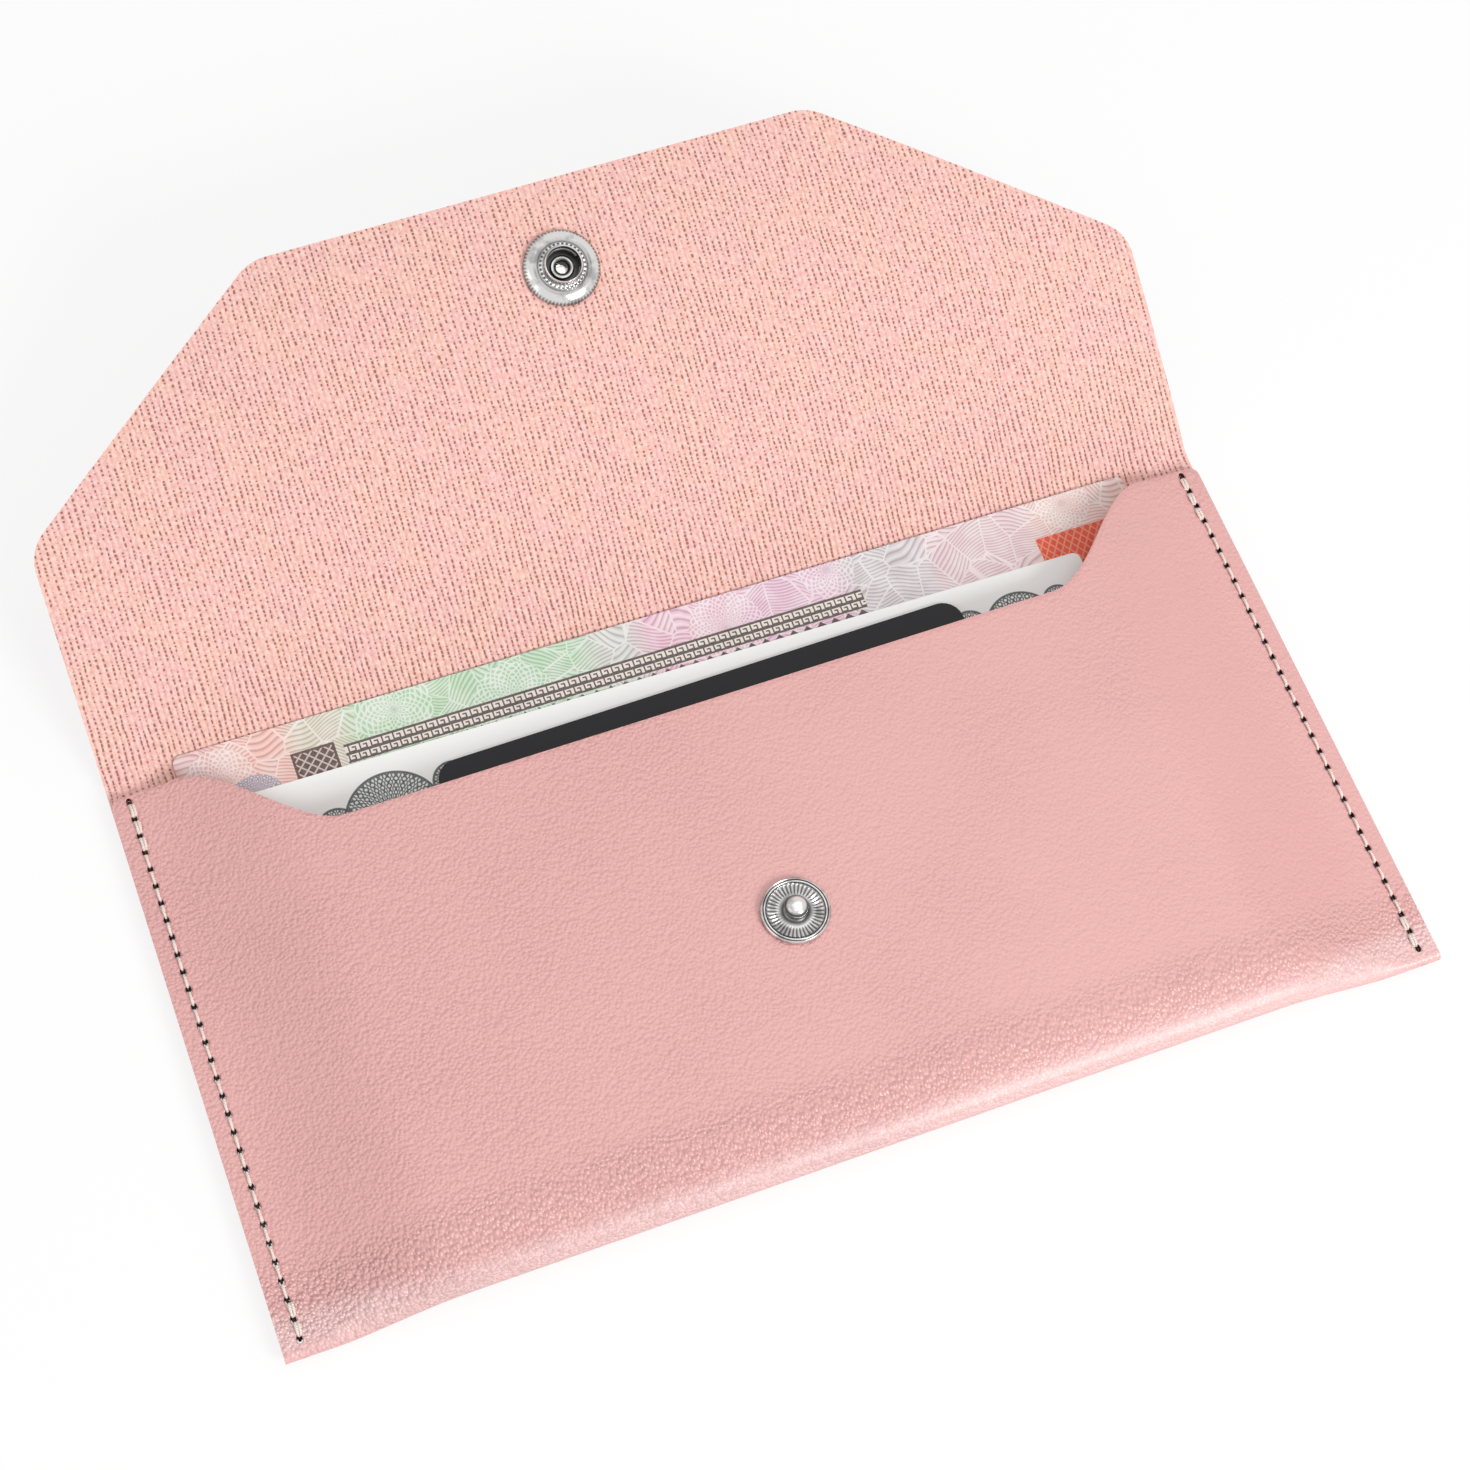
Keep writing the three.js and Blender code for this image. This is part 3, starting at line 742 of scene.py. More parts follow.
def settle(thing: bpy.types.Object) -> None:
    """Put an object's modifiers into its mesh and mark its sharp edges.

    Args:
        thing: The object.
    """
    graph = bpy.context.evaluated_depsgraph_get()
    mesh = bpy.data.meshes.new_from_object(thing.evaluated_get(graph), depsgraph=graph)
    thing.modifiers.clear()
    thing.data = mesh
    mesh.name = thing.name
    mesh.shade_smooth()
    mesh.set_sharp_from_angle(angle=math.radians(SHARP_DEGREES))


def modifier(thing: bpy.types.Object, kind: str, **settings: Any) -> None:
    """Add a modifier to an object and set it.

    Args:
        thing: The object.
        kind: The modifier's type name.
        settings: Its own settings.
    """
    added = thing.modifiers.new(kind.lower(), kind)
    for key, value in settings.items():
        setattr(added, key, value)


def turned(profile: Iterable[tuple[float, float]], steps: int) -> bmesh.types.BMesh:
    """Spin a profile round the Z axis.

    Args:
        profile: Pairs of radius and height.
        steps: Number of steps round the axis.

    Returns:
        The closed shape, facing outwards.
    """
    bm = bmesh.new()
    points = [bm.verts.new((radius, 0.0, height)) for radius, height in profile]
    lines = [bm.edges.new(pair) for pair in zip(points, points[1:])]
    bmesh.ops.spin(
        bm,
        geom=points + lines,
        cent=(0.0, 0.0, 0.0),
        axis=(0.0, 0.0, 1.0),
        angle=math.tau,
        steps=steps,
        use_merge=True,
        use_duplicate=False,
    )
    bmesh.ops.remove_doubles(bm, verts=bm.verts, dist=1e-4)
    bmesh.ops.recalc_face_normals(bm, faces=bm.faces)
    return bm


def paint_shade_and_reflection(bm: bmesh.types.BMesh, depth: Callable[[float, float, float], float]) -> None:
    """Write painted shade and painted reflections onto each vertex, for the metal's tone.

    Args:
        bm: A turned shape about the Z axis.
        depth: Takes radius, height and angle, and gives from 0 where nothing is painted to 1 for the
            darkest painted shade and reflection.
    """
    layer = bm.verts.layers.float.new("hollow")
    for vert in bm.verts:
        radius = math.hypot(vert.co.x, vert.co.y)
        vert[layer] = depth(radius, vert.co.z, math.atan2(vert.co.y, vert.co.x))


def ring(radius: float, middle: float, half: float) -> float:
    """Return 1 at the middle radius, falling to 0 at half a width to either side."""
    return max(0.0, 1 - abs(radius - middle) / half)


def lifted(points: Iterable[tuple[float, float]], height: float) -> list[tuple[float, float]]:
    """Return the points of a profile, moved up by a height."""
    return [(radius, z + height) for radius, z in points]


def rounded_corner(
    before: Vector, corner: Vector, after: Vector, radius: float, steps: int
) -> list[Vector]:
    """Return the arc that rounds a corner of a flat outline.

    Args:
        before: Point that the outline comes from.
        corner: The corner.
        after: Point that the outline goes to.
        radius: Radius of the arc.
        steps: Steps along the arc.

    Returns:
        Points from the side of before to the side of after.
    """
    to_before = (before - corner).normalized()
    to_after = (after - corner).normalized()
    half = to_before.angle(to_after) / 2
    centre = corner + (to_before + to_after).normalized() * (radius / math.sin(half))
    start = corner + to_before * (radius / math.tan(half)) - centre
    turn = math.pi - 2 * half
    sense = math.copysign(1.0, to_before.cross(to_after))
    arc = []
    for angle in spread(0.0, turn, steps):
        swing = -sense * angle
        arc.append(Vector((
            start.x * math.cos(swing) - start.y * math.sin(swing),
            start.x * math.sin(swing) + start.y * math.cos(swing),
        )) + centre)
    return arc


@dataclass
class FlapForm:
    """The flap's bend and outline, measured from the crease along the sheet."""

    crease_y: float = CREASE_Y
    crease_gap: float = 0.3
    bend: float = 4.0
    rise_degrees: float = 37.1
    arch_degrees: float = 0.3
    length: float = 72.0
    side: float = 39.1
    tip_width: float = 90.2
    side_radius: float = 7.0
    tip_radius: float = 8.0
    half_width: float = HALF_WIDTH
    middle: float = LEATHER / 2
    steps: int = 120

    def slope(self, along: float) -> float:
        """Work out the flap's slope.

        Args:
            along: Distance from the crease.

        Returns:
            The slope in radians.
        """
        if along < self.bend:
            return math.radians(self.rise_degrees * along / self.bend)
        return math.radians(self.rise_degrees - self.arch_degrees * (along - self.bend))

    def place(self, along: float) -> tuple[Vector, Vector]:
        """Follow the flap's middle line from the crease.

        Args:
            along: Distance from the crease.

        Returns:
            The point at x = 0 and the direction that the upper side faces there.
        """
        point = Vector((0.0, self.crease_y + self.crease_gap, self.middle))
        for i in range(self.steps):
            angle = self.slope((i + 0.5) * along / self.steps)
            point.y += math.cos(angle) * along / self.steps
            point.z += math.sin(angle) * along / self.steps
        angle = self.slope(along)
        return point, Vector((0.0, -math.sin(angle), math.cos(angle)))

    def outline(self) -> list[Vector]:
        """Draw the flap's outline from the crease to the tip.

        Returns:
            Pairs of half width and distance from the crease.
        """
        side = Vector((self.half_width, self.side))
        tip = Vector((self.tip_width / 2, self.length))
        side_arc = rounded_corner(Vector((self.half_width, 0.0)), side, tip, self.side_radius, 10)
        tip_arc = rounded_corner(side, tip, Vector((0.0, self.length)), self.tip_radius, 16)
        straight = spread(0.0, self.bend, 8)[:-1] + spread(self.bend, side_arc[0].y, 20)[:-1]
        slant = [side_arc[-1].lerp(tip_arc[0], share) for share in spread(0.0, 1.0, 14)[1:-1]]
        return [Vector((self.half_width, along)) for along in straight] + side_arc + slant + tip_arc


class SheetSlot(IntEnum):
    """Material slots of the leather sheet."""

    LEATHER = 0
    KNIT = 1
    CUT_EDGE = 2
    # Walls of the stitch holes, coloured near-black brown as painted shade.
    STITCH_HOLE_SHADE = 3


class Panel(Enum):
    """Stretches of the sheet below the crease, in order."""

    BACK = "back panel"
    FOLD = "bottom fold"
    FRONT = "front panel"


@dataclass
class WalletSheet:
    """The one leather sheet: front panel, bottom fold, back panel and flap."""

    thickness: float = LEATHER
    half_width: float = HALF_WIDTH
    half_height: float = CREASE_Y
    depth: float = POCKET_DEPTH
    seam_band: float = 4.6
    seam_lift: float = SEAM_LIFT
    seam_top: float = SEAM_TOP
    back_ramp: float = 5.0
    front_ramp: float = 22.0
    fold_reach: float = 9.0
    fold_pull: float = 0.6
    lip_drop: float = 16.2
    ear_drop: float = 0.9
    ear_width: float = 10.0
    ear_run: float = 22.0
    ear_corner: float = 1.5
    lift_fade: float = 25.0
    hole_radius: float = 0.44
    hole_stretch: float = 1.6
    stud_hole: float = 1.35
    cap_hole: float = 1.65
    edge_round: float = 0.14
    flap: FlapForm = field(default_factory=FlapForm)
    seam: StitchLine = field(default_factory=StitchLine)

    @property
    def seam_inner(self) -> float:
        """Return where the seam band starts."""
        return self.half_width - self.seam_band

    def back_middle(self, x: float) -> float:
        """Return the height of the back panel's middle line."""
        ramp = ease(self.seam_inner - self.back_ramp, self.seam_inner, abs(x))
        return self.thickness / 2 + self.seam_lift * ramp

    def front_rise(self, x: float) -> float:
        """Return 0 in the middle of the front panel and 1 in the seam band."""
        return ease(self.seam_inner - self.front_ramp, self.seam_inner, abs(x))

    def front_middle(self, x: float) -> float:
        """Return the height of the front panel's middle line."""
        ramp = self.front_rise(x)
        return self.depth * (1 - ramp) + self.seam_top * ramp - self.thickness / 2

    def lip(self, x: float) -> float:
        """Work out how far up the mouth's edge stands, from the low middle to the ears.

        Args:
            x: Place across.

        Returns:
            Its Y.
        """
        ear = self.half_width - self.ear_width
        rise = (self.lip_drop - self.ear_drop) * ease(ear - self.ear_run, ear, abs(x))
        corner = max(0.0, abs(x) - (self.half_width - self.ear_corner))
        rounding = self.ear_corner - math.sqrt(max(0.0, self.ear_corner ** 2 - corner ** 2))
        return self.half_height - self.lip_drop + rise - rounding

    def columns(self) -> list[float]:
        """Space the mesh across the sheet, closer near the seams.

        Returns:
            Places from -1 to 1.
        """
        slope_start = self.half_width - self.ear_width - self.ear_run
        corner_start = self.half_width - self.ear_corner
        half = spread(0.0, slope_start, 24)[:-1]
        half += spread(slope_start, self.seam_inner, 24)[:-1]
        half += spread(self.seam_inner, corner_start, 4)[:-1]
        half += [corner_start + self.ear_corner * math.sin(a) for a in spread(0.0, math.pi / 2, 5)]
        whole = [-x for x in reversed(half[1:])] + half
        return [x / self.half_width for x in whole]

    def rows(self) -> list[Callable[[float], tuple[Vector, float]]]:
        """Space the mesh along the sheet, from the flap's tip to the mouth.

        Returns:
            One function for each row, which takes a place across from -1 to 1 and gives the point
            and its distance from the crease along the sheet, negative below the crease.
        """
        rows = [self._flap_row(point.x, point.y) for point in reversed(self.flap.outline())]
        rows += [self._panel_row(Panel.BACK, share) for share in spread(0.0, 1.0, 48)]
        rows += [self._panel_row(Panel.FOLD, share) for share in spread(0.0, 1.0, 28)[1:]]
        rows += [self._panel_row(Panel.FRONT, share) for share in spread(0.0, 0.94, 36)[1:]]
        rows += [self._panel_row(Panel.FRONT, share) for share in spread(0.94, 1.0, 4)[1:]]
        return rows

    def _flap_row(self, half: float, along: float) -> Callable[[float], tuple[Vector, float]]:
        """Make the function of one row of the flap.

        Args:
            half: Half the row's width.
            along: Its distance from the crease.

        Returns:
            The function that rows describes.
        """
        point, _ = self.flap.place(along)
        fade = 1 - ease(0.0, self.lift_fade, along)

        def at(share: float) -> tuple[Vector, float]:
            """Find the row's point at a place across.

            Args:
                share: The place, from -1 to 1.

            Returns:
                The point and its distance from the crease.
            """
            x = share * half
            lift = (self.back_middle(x) - self.thickness / 2) * fade
            return Vector((x, point.y, point.z + lift)), along + self.flap.crease_gap

        return at

    def _panel_row(self, panel: Panel, part: float) -> Callable[[float], tuple[Vector, float]]:
        """Make the function of one row below the crease.

        Args:
            panel: The stretch that the row is in.
            part: Share of that stretch that lies before the row.

        Returns:
            The function that rows describes.
        """
        def at(share: float) -> tuple[Vector, float]:
            """Find the row's point at a place across.

            Args:
                share: The place, from -1 to 1.

            Returns:
                The point and its distance from the crease.
            """
            x = share * self.half_width
            low, high = self.back_middle(x), self.front_middle(x)
            radius, seam = (high - low) / 2, self.front_rise(x)
            reach = self.fold_reach * (1 - seam) + radius * seam
            centre = -self.half_height + self.thickness / 2 + self.fold_pull * (1 - seam) + reach
            back = self.half_height - centre
            round_fold = math.pi * math.sqrt((radius ** 2 + reach ** 2) / 2)
            if panel is Panel.BACK:
                return Vector((x, self.half_height - part * back, low)), -part * back
            if panel is Panel.FOLD:
                angle = -math.pi / 2 - part * math.pi
                y, z = centre + reach * math.cos(angle), (low + high) / 2 + radius * math.sin(angle)
                return Vector((x, y, z)), -back - part * round_fold
            front = part * (self.lip(x) - centre)
            return Vector((x, centre + front, high)), -back - round_fold - front

        return at

    def stitch_rows(self) -> list[float]:
        """Space the holes of a side seam.

        Returns:
            The Y of each hole, from the top down.
        """
        first = self.half_height + self.seam.back_first
        count = round((self.seam.back_first - self.seam.back_last) / self.seam.pitch)
        return [first - i * self.seam.pitch for i in range(count + 1)]

    def _cutter(self, stud_y: float, snap_place: Matrix) -> bpy.types.Object:
        """Build the tools that cut the stitch holes and the two snap holes.

        Args:
            stud_y: Where the stud's post goes through the front panel.
            snap_place: Where the cap's post goes through the flap.

        Returns:
            One object of separate cylinders.
        """
        bm = bmesh.new()
        stretch = Matrix.Diagonal((1, self.hole_stretch, 1, 1))
        for side in (-1, 1):
            for y in self.stitch_rows():
                place = Matrix.Translation((side * self.seam.across, y, self.seam_top / 2))
                bmesh.ops.create_cone(
                    bm, cap_ends=True, segments=10, radius1=self.hole_radius, radius2=self.hole_radius,
                    depth=self.seam_top + 2, matrix=place @ stretch,
                )
        stud_place = Matrix.Translation((0.0, stud_y, self.depth))
        for place, radius in ((stud_place, self.stud_hole), (snap_place, self.cap_hole)):
            bmesh.ops.create_cone(
                bm, cap_ends=True, segments=32, radius1=radius, radius2=radius, depth=3.0, matrix=place,
            )
        # Stitch hole walls take the painted shade slot; the snap holes take the cut edge.
        for face in bm.faces:
            stitched = abs(face.calc_center_median().x) > self.seam.across / 2
            face.material_index = SheetSlot.STITCH_HOLE_SHADE if stitched else SheetSlot.CUT_EDGE
        return to_object("hole_cutter", bm, ())

    def build(
        self, materials: Sequence[bpy.types.Material], stud_y: float, snap_place: Matrix
    ) -> bpy.types.Object:
        """Build the sheet.

        Args:
            materials: The finishes, in the order of SheetSlot.
            stud_y: Where the stud's post goes through the front panel.
            snap_place: Where the cap's post goes through the flap.

        Returns:
            The finished sheet.
        """
        columns, rows = self.columns(), self.rows()
        bm = bmesh.new()
        bmesh.ops.create_grid(bm, x_segments=len(columns) - 1, y_segments=len(rows) - 1, size=1.0)
        flat: dict[int, tuple[float, float]] = {}
        for vert in bm.verts:
            column = round((vert.co.x + 1) / 2 * (len(columns) - 1))
            row = round((vert.co.y + 1) / 2 * (len(rows) - 1))
            vert.co, along = rows[row](columns[column])
            flat[vert.index] = (vert.co.x * MM, along * MM)
        layer = bm.loops.layers.uv.new("flat")
        for face in bm.faces:
            for loop in face.loops:
                loop[layer].uv = flat[loop.vert.index]
        sheet = to_object("wallet_sheet", bm, materials)
        modifier(
            sheet, "SOLIDIFY", thickness=self.thickness * MM, offset=0.0, use_even_offset=True,
            material_offset=SheetSlot.KNIT, material_offset_rim=SheetSlot.CUT_EDGE,
        )
        modifier(
            sheet, "BEVEL", width=self.edge_round * MM, segments=2, limit_method="ANGLE",
            angle_limit=math.radians(RIM_DEGREES),
        )
        settle(sheet)
        cutter = self._cutter(stud_y, snap_place)
        for material in materials:
            cutter.data.materials.append(material)
        modifier(sheet, "BOOLEAN", operation="DIFFERENCE", object=cutter, solver="MANIFOLD")
        settle(sheet)
        bpy.data.objects.remove(cutter)
        return sheet


class Run(Enum):
    """Which thread of a side seam."""

    NEEDLE = 1
    BOBBIN = -1


@dataclass
class SeamThread:
    """Thread of one side seam, with its locking stitches at both ends."""

    radius: float = 0.22
    clearance: float = 0.03
    lock: float = 0.45
    dip: float = 0.95
    ply: float = 0.16
    twist: float = 0.6
    sides: int = 8
    sheet: WalletSheet = field(default_factory=WalletSheet)

    def path(self, side: int, run: Run) -> list[Vector]:
        """Return the thread's points from hole to hole.

        Args:
            side: -1 for the left seam, 1 for the right one.
            run: The needle's or the bobbin's thread.

        Returns:
            Points along the thread.
        """
        holes = self.sheet.stitch_rows()
        needle = run is Run.NEEDLE
        surface = self.sheet.seam_top if needle else self.sheet.seam_lift
        away = run.value
        order = [(i, self.lock) for i in (3, 2, 1)] if needle else []
        order += [(i, 0.0) for i in range(len(holes))]
        if needle:
            order += [(len(holes) - 2, self.lock), (len(holes) - 3, self.lock)]
        over = surface + away * (self.radius + self.clearance)
        dip = surface - away * self.dip
        rise = (
            (0.0, dip, 0.35), (0.15, dip + away * 0.15, 0.5), (0.185, surface - away * 0.28, 0.7),
            (0.23, over - away * 0.04, 0.9), (0.32, over + away * 0.05, 1.0),
        )
        fall = tuple((1 - share, height, shift) for share, height, shift in reversed(rise[1:]))
        points: list[Vector] = []
        for (first, offset), (second, next_offset) in zip(order, order[1:]):
            aside = max(offset, next_offset)
            start, end = holes[first], holes[second]
            for share, height, shift in (*rise, (0.5, over + away * 0.07, 1.0), *fall):
                x = side * (self.sheet.seam.across - aside * shift)
                points.append(Vector((x, start + (end - start) * share, height)))
        last_x = side * (self.sheet.seam.across - order[-1][1] * 0.35)
        points.append(Vector((last_x, holes[order[-1][0]], dip)))
        return points

    def build(self, name: str, side: int, run: Run, material: bpy.types.Material) -> bpy.types.Object:
        """Build one thread as a two-ply tube that twists along its path.

        Args:
            name: Name of the piece.
            side: -1 for the left seam, 1 for the right one.
            run: The needle's or the bobbin's thread.
            material: The thread's finish.

        Returns:
            The finished thread.
        """
        points = self.path(side, run)
        bm = bmesh.new()
        bmesh.ops.create_circle(bm, cap_ends=True, segments=self.sides, radius=self.radius)
        face = bm.faces[:][0]
        self._lay([loop.vert for loop in face.loops], points[0], points[1] - points[0], 0.0)
        for i in range(1, len(points)):
            ahead = points[min(i + 1, len(points) - 1)] - points[i - 1]
            grown = bmesh.ops.extrude_face_region(bm, geom=[face])["geom"]
            face = next(part for part in grown if isinstance(part, bmesh.types.BMFace))
            self._lay([loop.vert for loop in face.loops], points[i], ahead, i * self.twist)
        inside = [f for f in bm.faces if all(len(edge.link_faces) > 2 for edge in f.edges)]
        bmesh.ops.delete(bm, geom=inside, context="FACES_ONLY")
        bmesh.ops.recalc_face_normals(bm, faces=bm.faces)
        if bm.calc_volume(signed=True) < 0:
            bmesh.ops.reverse_faces(bm, faces=bm.faces)
        return to_object(name, bm, (material,))

    def _lay(
        self, verts: Sequence[bmesh.types.BMVert], centre: Vector, ahead: Vector, twist: float
    ) -> None:
        """Place a ring of vertices square to the path, with a lobe for each of its two plies.

        Args:
            verts: The vertices in order.
            centre: Point of the path.
            ahead: Direction of the path.
            twist: Turn of the lobes in radians.
        """
        ahead = ahead.normalized()
        sideways = Vector((1.0, 0.0, 0.0))
        upwards = sideways.cross(ahead).normalized()
        for i, vert in enumerate(verts):
            angle = math.tau * i / len(verts)
            reach = self.radius * (1 + self.ply * math.cos(2 * (angle - twist)))
            vert.co = centre + reach * (sideways * math.cos(angle) + upwards * math.sin(angle))


@dataclass
class RingSnap:
    """The snap: stud and post on the front panel, cap, socket and spring on the flap."""

    from_crease: float = 57.9
    stud_y: float = -7.8
    panel_top: float = POCKET_DEPTH
    sheet: float = LEATHER
    seat: float = 0.12
    flutes: int = 40
    flute_depth: float = 0.16
    beads: int = 32
    bead_depth: float = 0.2
    socket_height: float = 3.2
    spring_share: float = 0.56
    spring_radius: float = 2.72
    spring_wire: float = 0.3
    spring_split: float = 40.0
    plain_steps: int = 96
    sharp_degrees: float = 50.0
    flap: FlapForm = field(default_factory=FlapForm)

    def flap_place(self) -> Matrix:
        """Find the seat on the flap's upper side.

        Returns:
            Its place and turn, in millimetres.
        """
        point, up = self.flap.place(self.from_crease)
        turn = Matrix.Rotation(self.flap.slope(self.from_crease), 4, "X")
        return Matrix.Translation(point + up * (self.sheet / 2)) @ turn

    def panel_place(self) -> Matrix:
        """Return the seat on the front panel's outside as a matrix in millimetres."""
        return Matrix.Translation((0.0, self.stud_y, self.panel_top))

    def _finish(
        self, name: str, bm: bmesh.types.BMesh, place: Matrix, material: bpy.types.Material
    ) -> bpy.types.Object:
        """Put a turned piece in its place and make it an object.

        Args:
            name: Name of the piece.
            bm: Its shape about the Z axis, with its seat at 0.
            place: Place and turn of the seat.
            material: Its finish.

        Returns:
            The finished piece.
        """
        bmesh.ops.transform(bm, matrix=place, verts=bm.verts)
        thing = to_object(name, bm, (material,))
        thing.data.set_sharp_from_angle(angle=math.radians(self.sharp_degrees))
        return thing

    def stud(self, material: bpy.types.Material) -> bpy.types.Object:
        """Build the stud: rolled rim, fluted skirt, foot and ball.

        Args:
            material: Its metal.

        Returns:
            The finished stud.
        """
        foot = (
            (1.35, 0.0), (4.85, 0.0), (5.1, 0.08), (5.2, 0.28), (5.2, 0.55), (5.12, 0.76), (4.98, 0.86),
            (4.86, 0.8), (4.78, 0.68), (4.7, 0.74), (4.6, 0.8), (4.48, 0.76), (4.38, 0.6), (4.28, 0.52),
            (4.05, 0.5), (3.75, 0.48), (3.45, 0.46), (3.15, 0.44), (2.85, 0.42), (2.6, 0.42),
            (2.4, 0.44), (2.15, 0.5), (1.9, 0.56), (1.68, 0.68), (1.54, 0.86),
        )
        ball = (
            (1.48, 1.15), (1.52, 1.4), (1.66, 1.62), (1.77, 1.85), (1.8, 2.08), (1.76, 2.32), (1.66, 2.55),
            (1.5, 2.76), (1.28, 2.94), (1.0, 3.07), (0.7, 3.15), (0.35, 3.19), (0.0, 3.2),
        )
        bm = turned([(0.0, 1.5), (1.35, 1.5), *lifted(foot, self.seat), *ball], self.flutes * 4)
        top = self.seat + 0.3

        def groove(radius: float, angle: float) -> float:
            """Return how deep a flute is here, from 0 to 1."""
            band = ease(2.5, 2.9, radius) * (1 - ease(4.2, 4.34, radius))
            return band * (0.5 + 0.5 * math.cos(self.flutes * angle))

        # Painted shade in the flutes, in the rim's two grooves, under the ball and round its neck, and a
        # painted reflection as a dark band round the ball's side.
        paint_shade_and_reflection(bm, lambda radius, z, angle: 0.0 if z < top else max(
            0.95 * groove(radius, angle), ring(radius, 4.78, 0.14), ring(radius, 4.36, 0.16),
            ring(radius, 1.95, 0.85) * (1 - ease(1.3, 1.8, z)), ring(z, 2.56, 0.4),
            0.8 * ring(z, 1.3, 0.35),
        ))
        for vert in bm.verts:
            if vert.co.z > top:
                radius = math.hypot(vert.co.x, vert.co.y)
                vert.co.z -= self.flute_depth * groove(radius, math.atan2(vert.co.y, vert.co.x))
        return self._finish("stud_turned", bm, self.panel_place(), material)

    def socket(self, material: bpy.types.Material) -> bpy.types.Object:
        """Build the socket: domed flange with a serrated rim, beaded ring and smooth mouth.

        Args:
            material: Its metal.

        Returns:
            The finished socket.
        """
        base, top = self.seat, self.socket_height
        flange = (
            (1.65, 0.0), (5.7, 0.0), (5.92, 0.1), (6.0, 0.28), (5.98, 0.5), (5.86, 0.7), (5.68, 0.86),
            (5.46, 0.98), (5.2, 1.12), (4.92, 1.26), (4.64, 1.38), (4.36, 1.46), (4.12, 1.5), (3.94, 1.46),
            (3.82, 1.5), (3.72, 1.66), (3.58, 1.8), (3.4, 1.84), (3.24, 1.78), (3.14, 1.8), (3.08, 2.1),
            (3.04, 2.5),
        )
        mouth = ((2.98, -0.2), (2.9, -0.05), (2.8, 0.0), (2.71, -0.06), (2.66, -0.2), (2.65, -0.6))
        groove = ((2.65, 0.47), (3.19, 0.47), (3.19, -0.47), (2.65, -0.47))
        floor = ((2.65, 0.45), (1.65, 0.45), (1.65, 0.0))
        wall = lifted(mouth, top) + lifted(groove, top * self.spring_share)
        bm = turned(lifted(flange, base) + wall + lifted(floor, base), self.beads * 6)
        low = base + 1.4

        def inside(radius: float, z: float) -> bool:
            """Tell whether this is a face of the bore."""
            return radius < 2.7 and z < top - 0.1

        def dent(radius: float, z: float, angle: float) -> float:
            """Work out how deep the dent between two beads or two teeth of the rim is.

            Args:
                radius: Distance from the axis.
                z: Height above the leather.
                angle: Place round the axis in radians.

            Returns:
                The depth, from 0 to 1.
            """
            if inside(radius, z) or z < base + 0.3:
                return 0.0
            bead = ease(3.2, 3.34, radius) * (1 - ease(3.62, 3.78, radius)) * (z > low)
            tooth = ease(5.5, 5.7, radius) * (z < base + 0.95)
            wave = 0.5 - 0.5 * math.cos(self.beads * angle)
            return max(bead * wave, tooth * (0.5 - 0.5 * math.cos(2 * self.beads * angle)) * 0.8)

        # Painted shade in the dents between beads and teeth, in the bore and in the grooves beside the
        # beaded ring, and painted reflections as a dark band on the flange's inner slope and as dark
        # crescents that follow the angle round the axis.
        paint_shade_and_reflection(bm, lambda radius, z, angle: max(
            dent(radius, z, angle), 0.93 if inside(radius, z) else 0.0,
            0.0 if inside(radius, z) or z < low else max(
                ring(radius, 3.88, 0.24), 0.95 * ring(radius, 3.14, 0.12),
                0.55 * ease(4.9, 4.2, radius) * (radius > 4.0),
                0.7 * ease(4.0, 4.3, radius) * max(0.0, math.cos(2 * angle)) ** 3,
            ),
        ))
        for vert in bm.verts:
            radius = math.hypot(vert.co.x, vert.co.y)
            deep = dent(radius, vert.co.z, math.atan2(vert.co.y, vert.co.x))
            vert.co.z -= self.bead_depth * deep
        return self._finish("socket_turned", bm, self.flap_place(), material)

    def cap(self, material: bpy.types.Material) -> bpy.types.Object:
        """Build the cap: low dome outside the flap and a tubular post through it.

        Args:
            material: Its metal.

        Returns:
            The finished cap.
        """
        under = -self.sheet - self.seat
        flare = self.seat + 0.45 + self.seat
        dome = (
            (0.0, -1.7), (1.4, -1.68), (2.8, -1.58), (4.0, -1.38), (5.0, -1.08), (5.7, -0.72),
            (6.05, -0.42), (6.2, -0.2), (6.17, -0.06), (6.0, 0.0), (1.4, 0.0),
        )
        rolled = (
            (1.4, 0.0), (1.8, 0.02), (1.9, 0.14), (1.84, 0.27), (1.6, 0.34), (1.25, 0.3), (1.0, 0.16),
            (0.95, -0.1),
        )
        bore = ((0.95, -0.4), (0.7, -0.5), (0.0, -0.52))
        profile = lifted(dome, under) + lifted(rolled, flare) + lifted(bore, under)
        bm = turned(profile, self.plain_steps)
        # Painted shade inside the post's bore; the rest of the cap is a little darker.
        paint_shade_and_reflection(bm, lambda radius, z, angle: 0.95 if radius < 1.3 and z > under else 0.1)
        return self._finish("cap_turned", bm, self.flap_place(), material)

    def post(self, material: bpy.types.Material) -> bpy.types.Object:
        """Build the post that holds the stud from inside the pocket.

        Args:
            material: Its metal.

        Returns:
            The finished post.
        """
        under = -self.sheet - self.seat
        head = (
            (0.0, -0.5), (2.6, -0.49), (3.7, -0.42), (4.1, -0.3), (4.2, -0.2), (4.16, -0.06), (4.0, 0.0),
            (1.1, 0.0),
        )
        shank = ((1.1, 1.2), (1.02, 1.34), (0.85, 1.38), (0.0, 1.38))
        bm = turned([*lifted(head, under), *shank], self.plain_steps)
        paint_shade_and_reflection(bm, lambda radius, z, angle: 0.0)
        return self._finish("post_turned", bm, self.panel_place(), material)

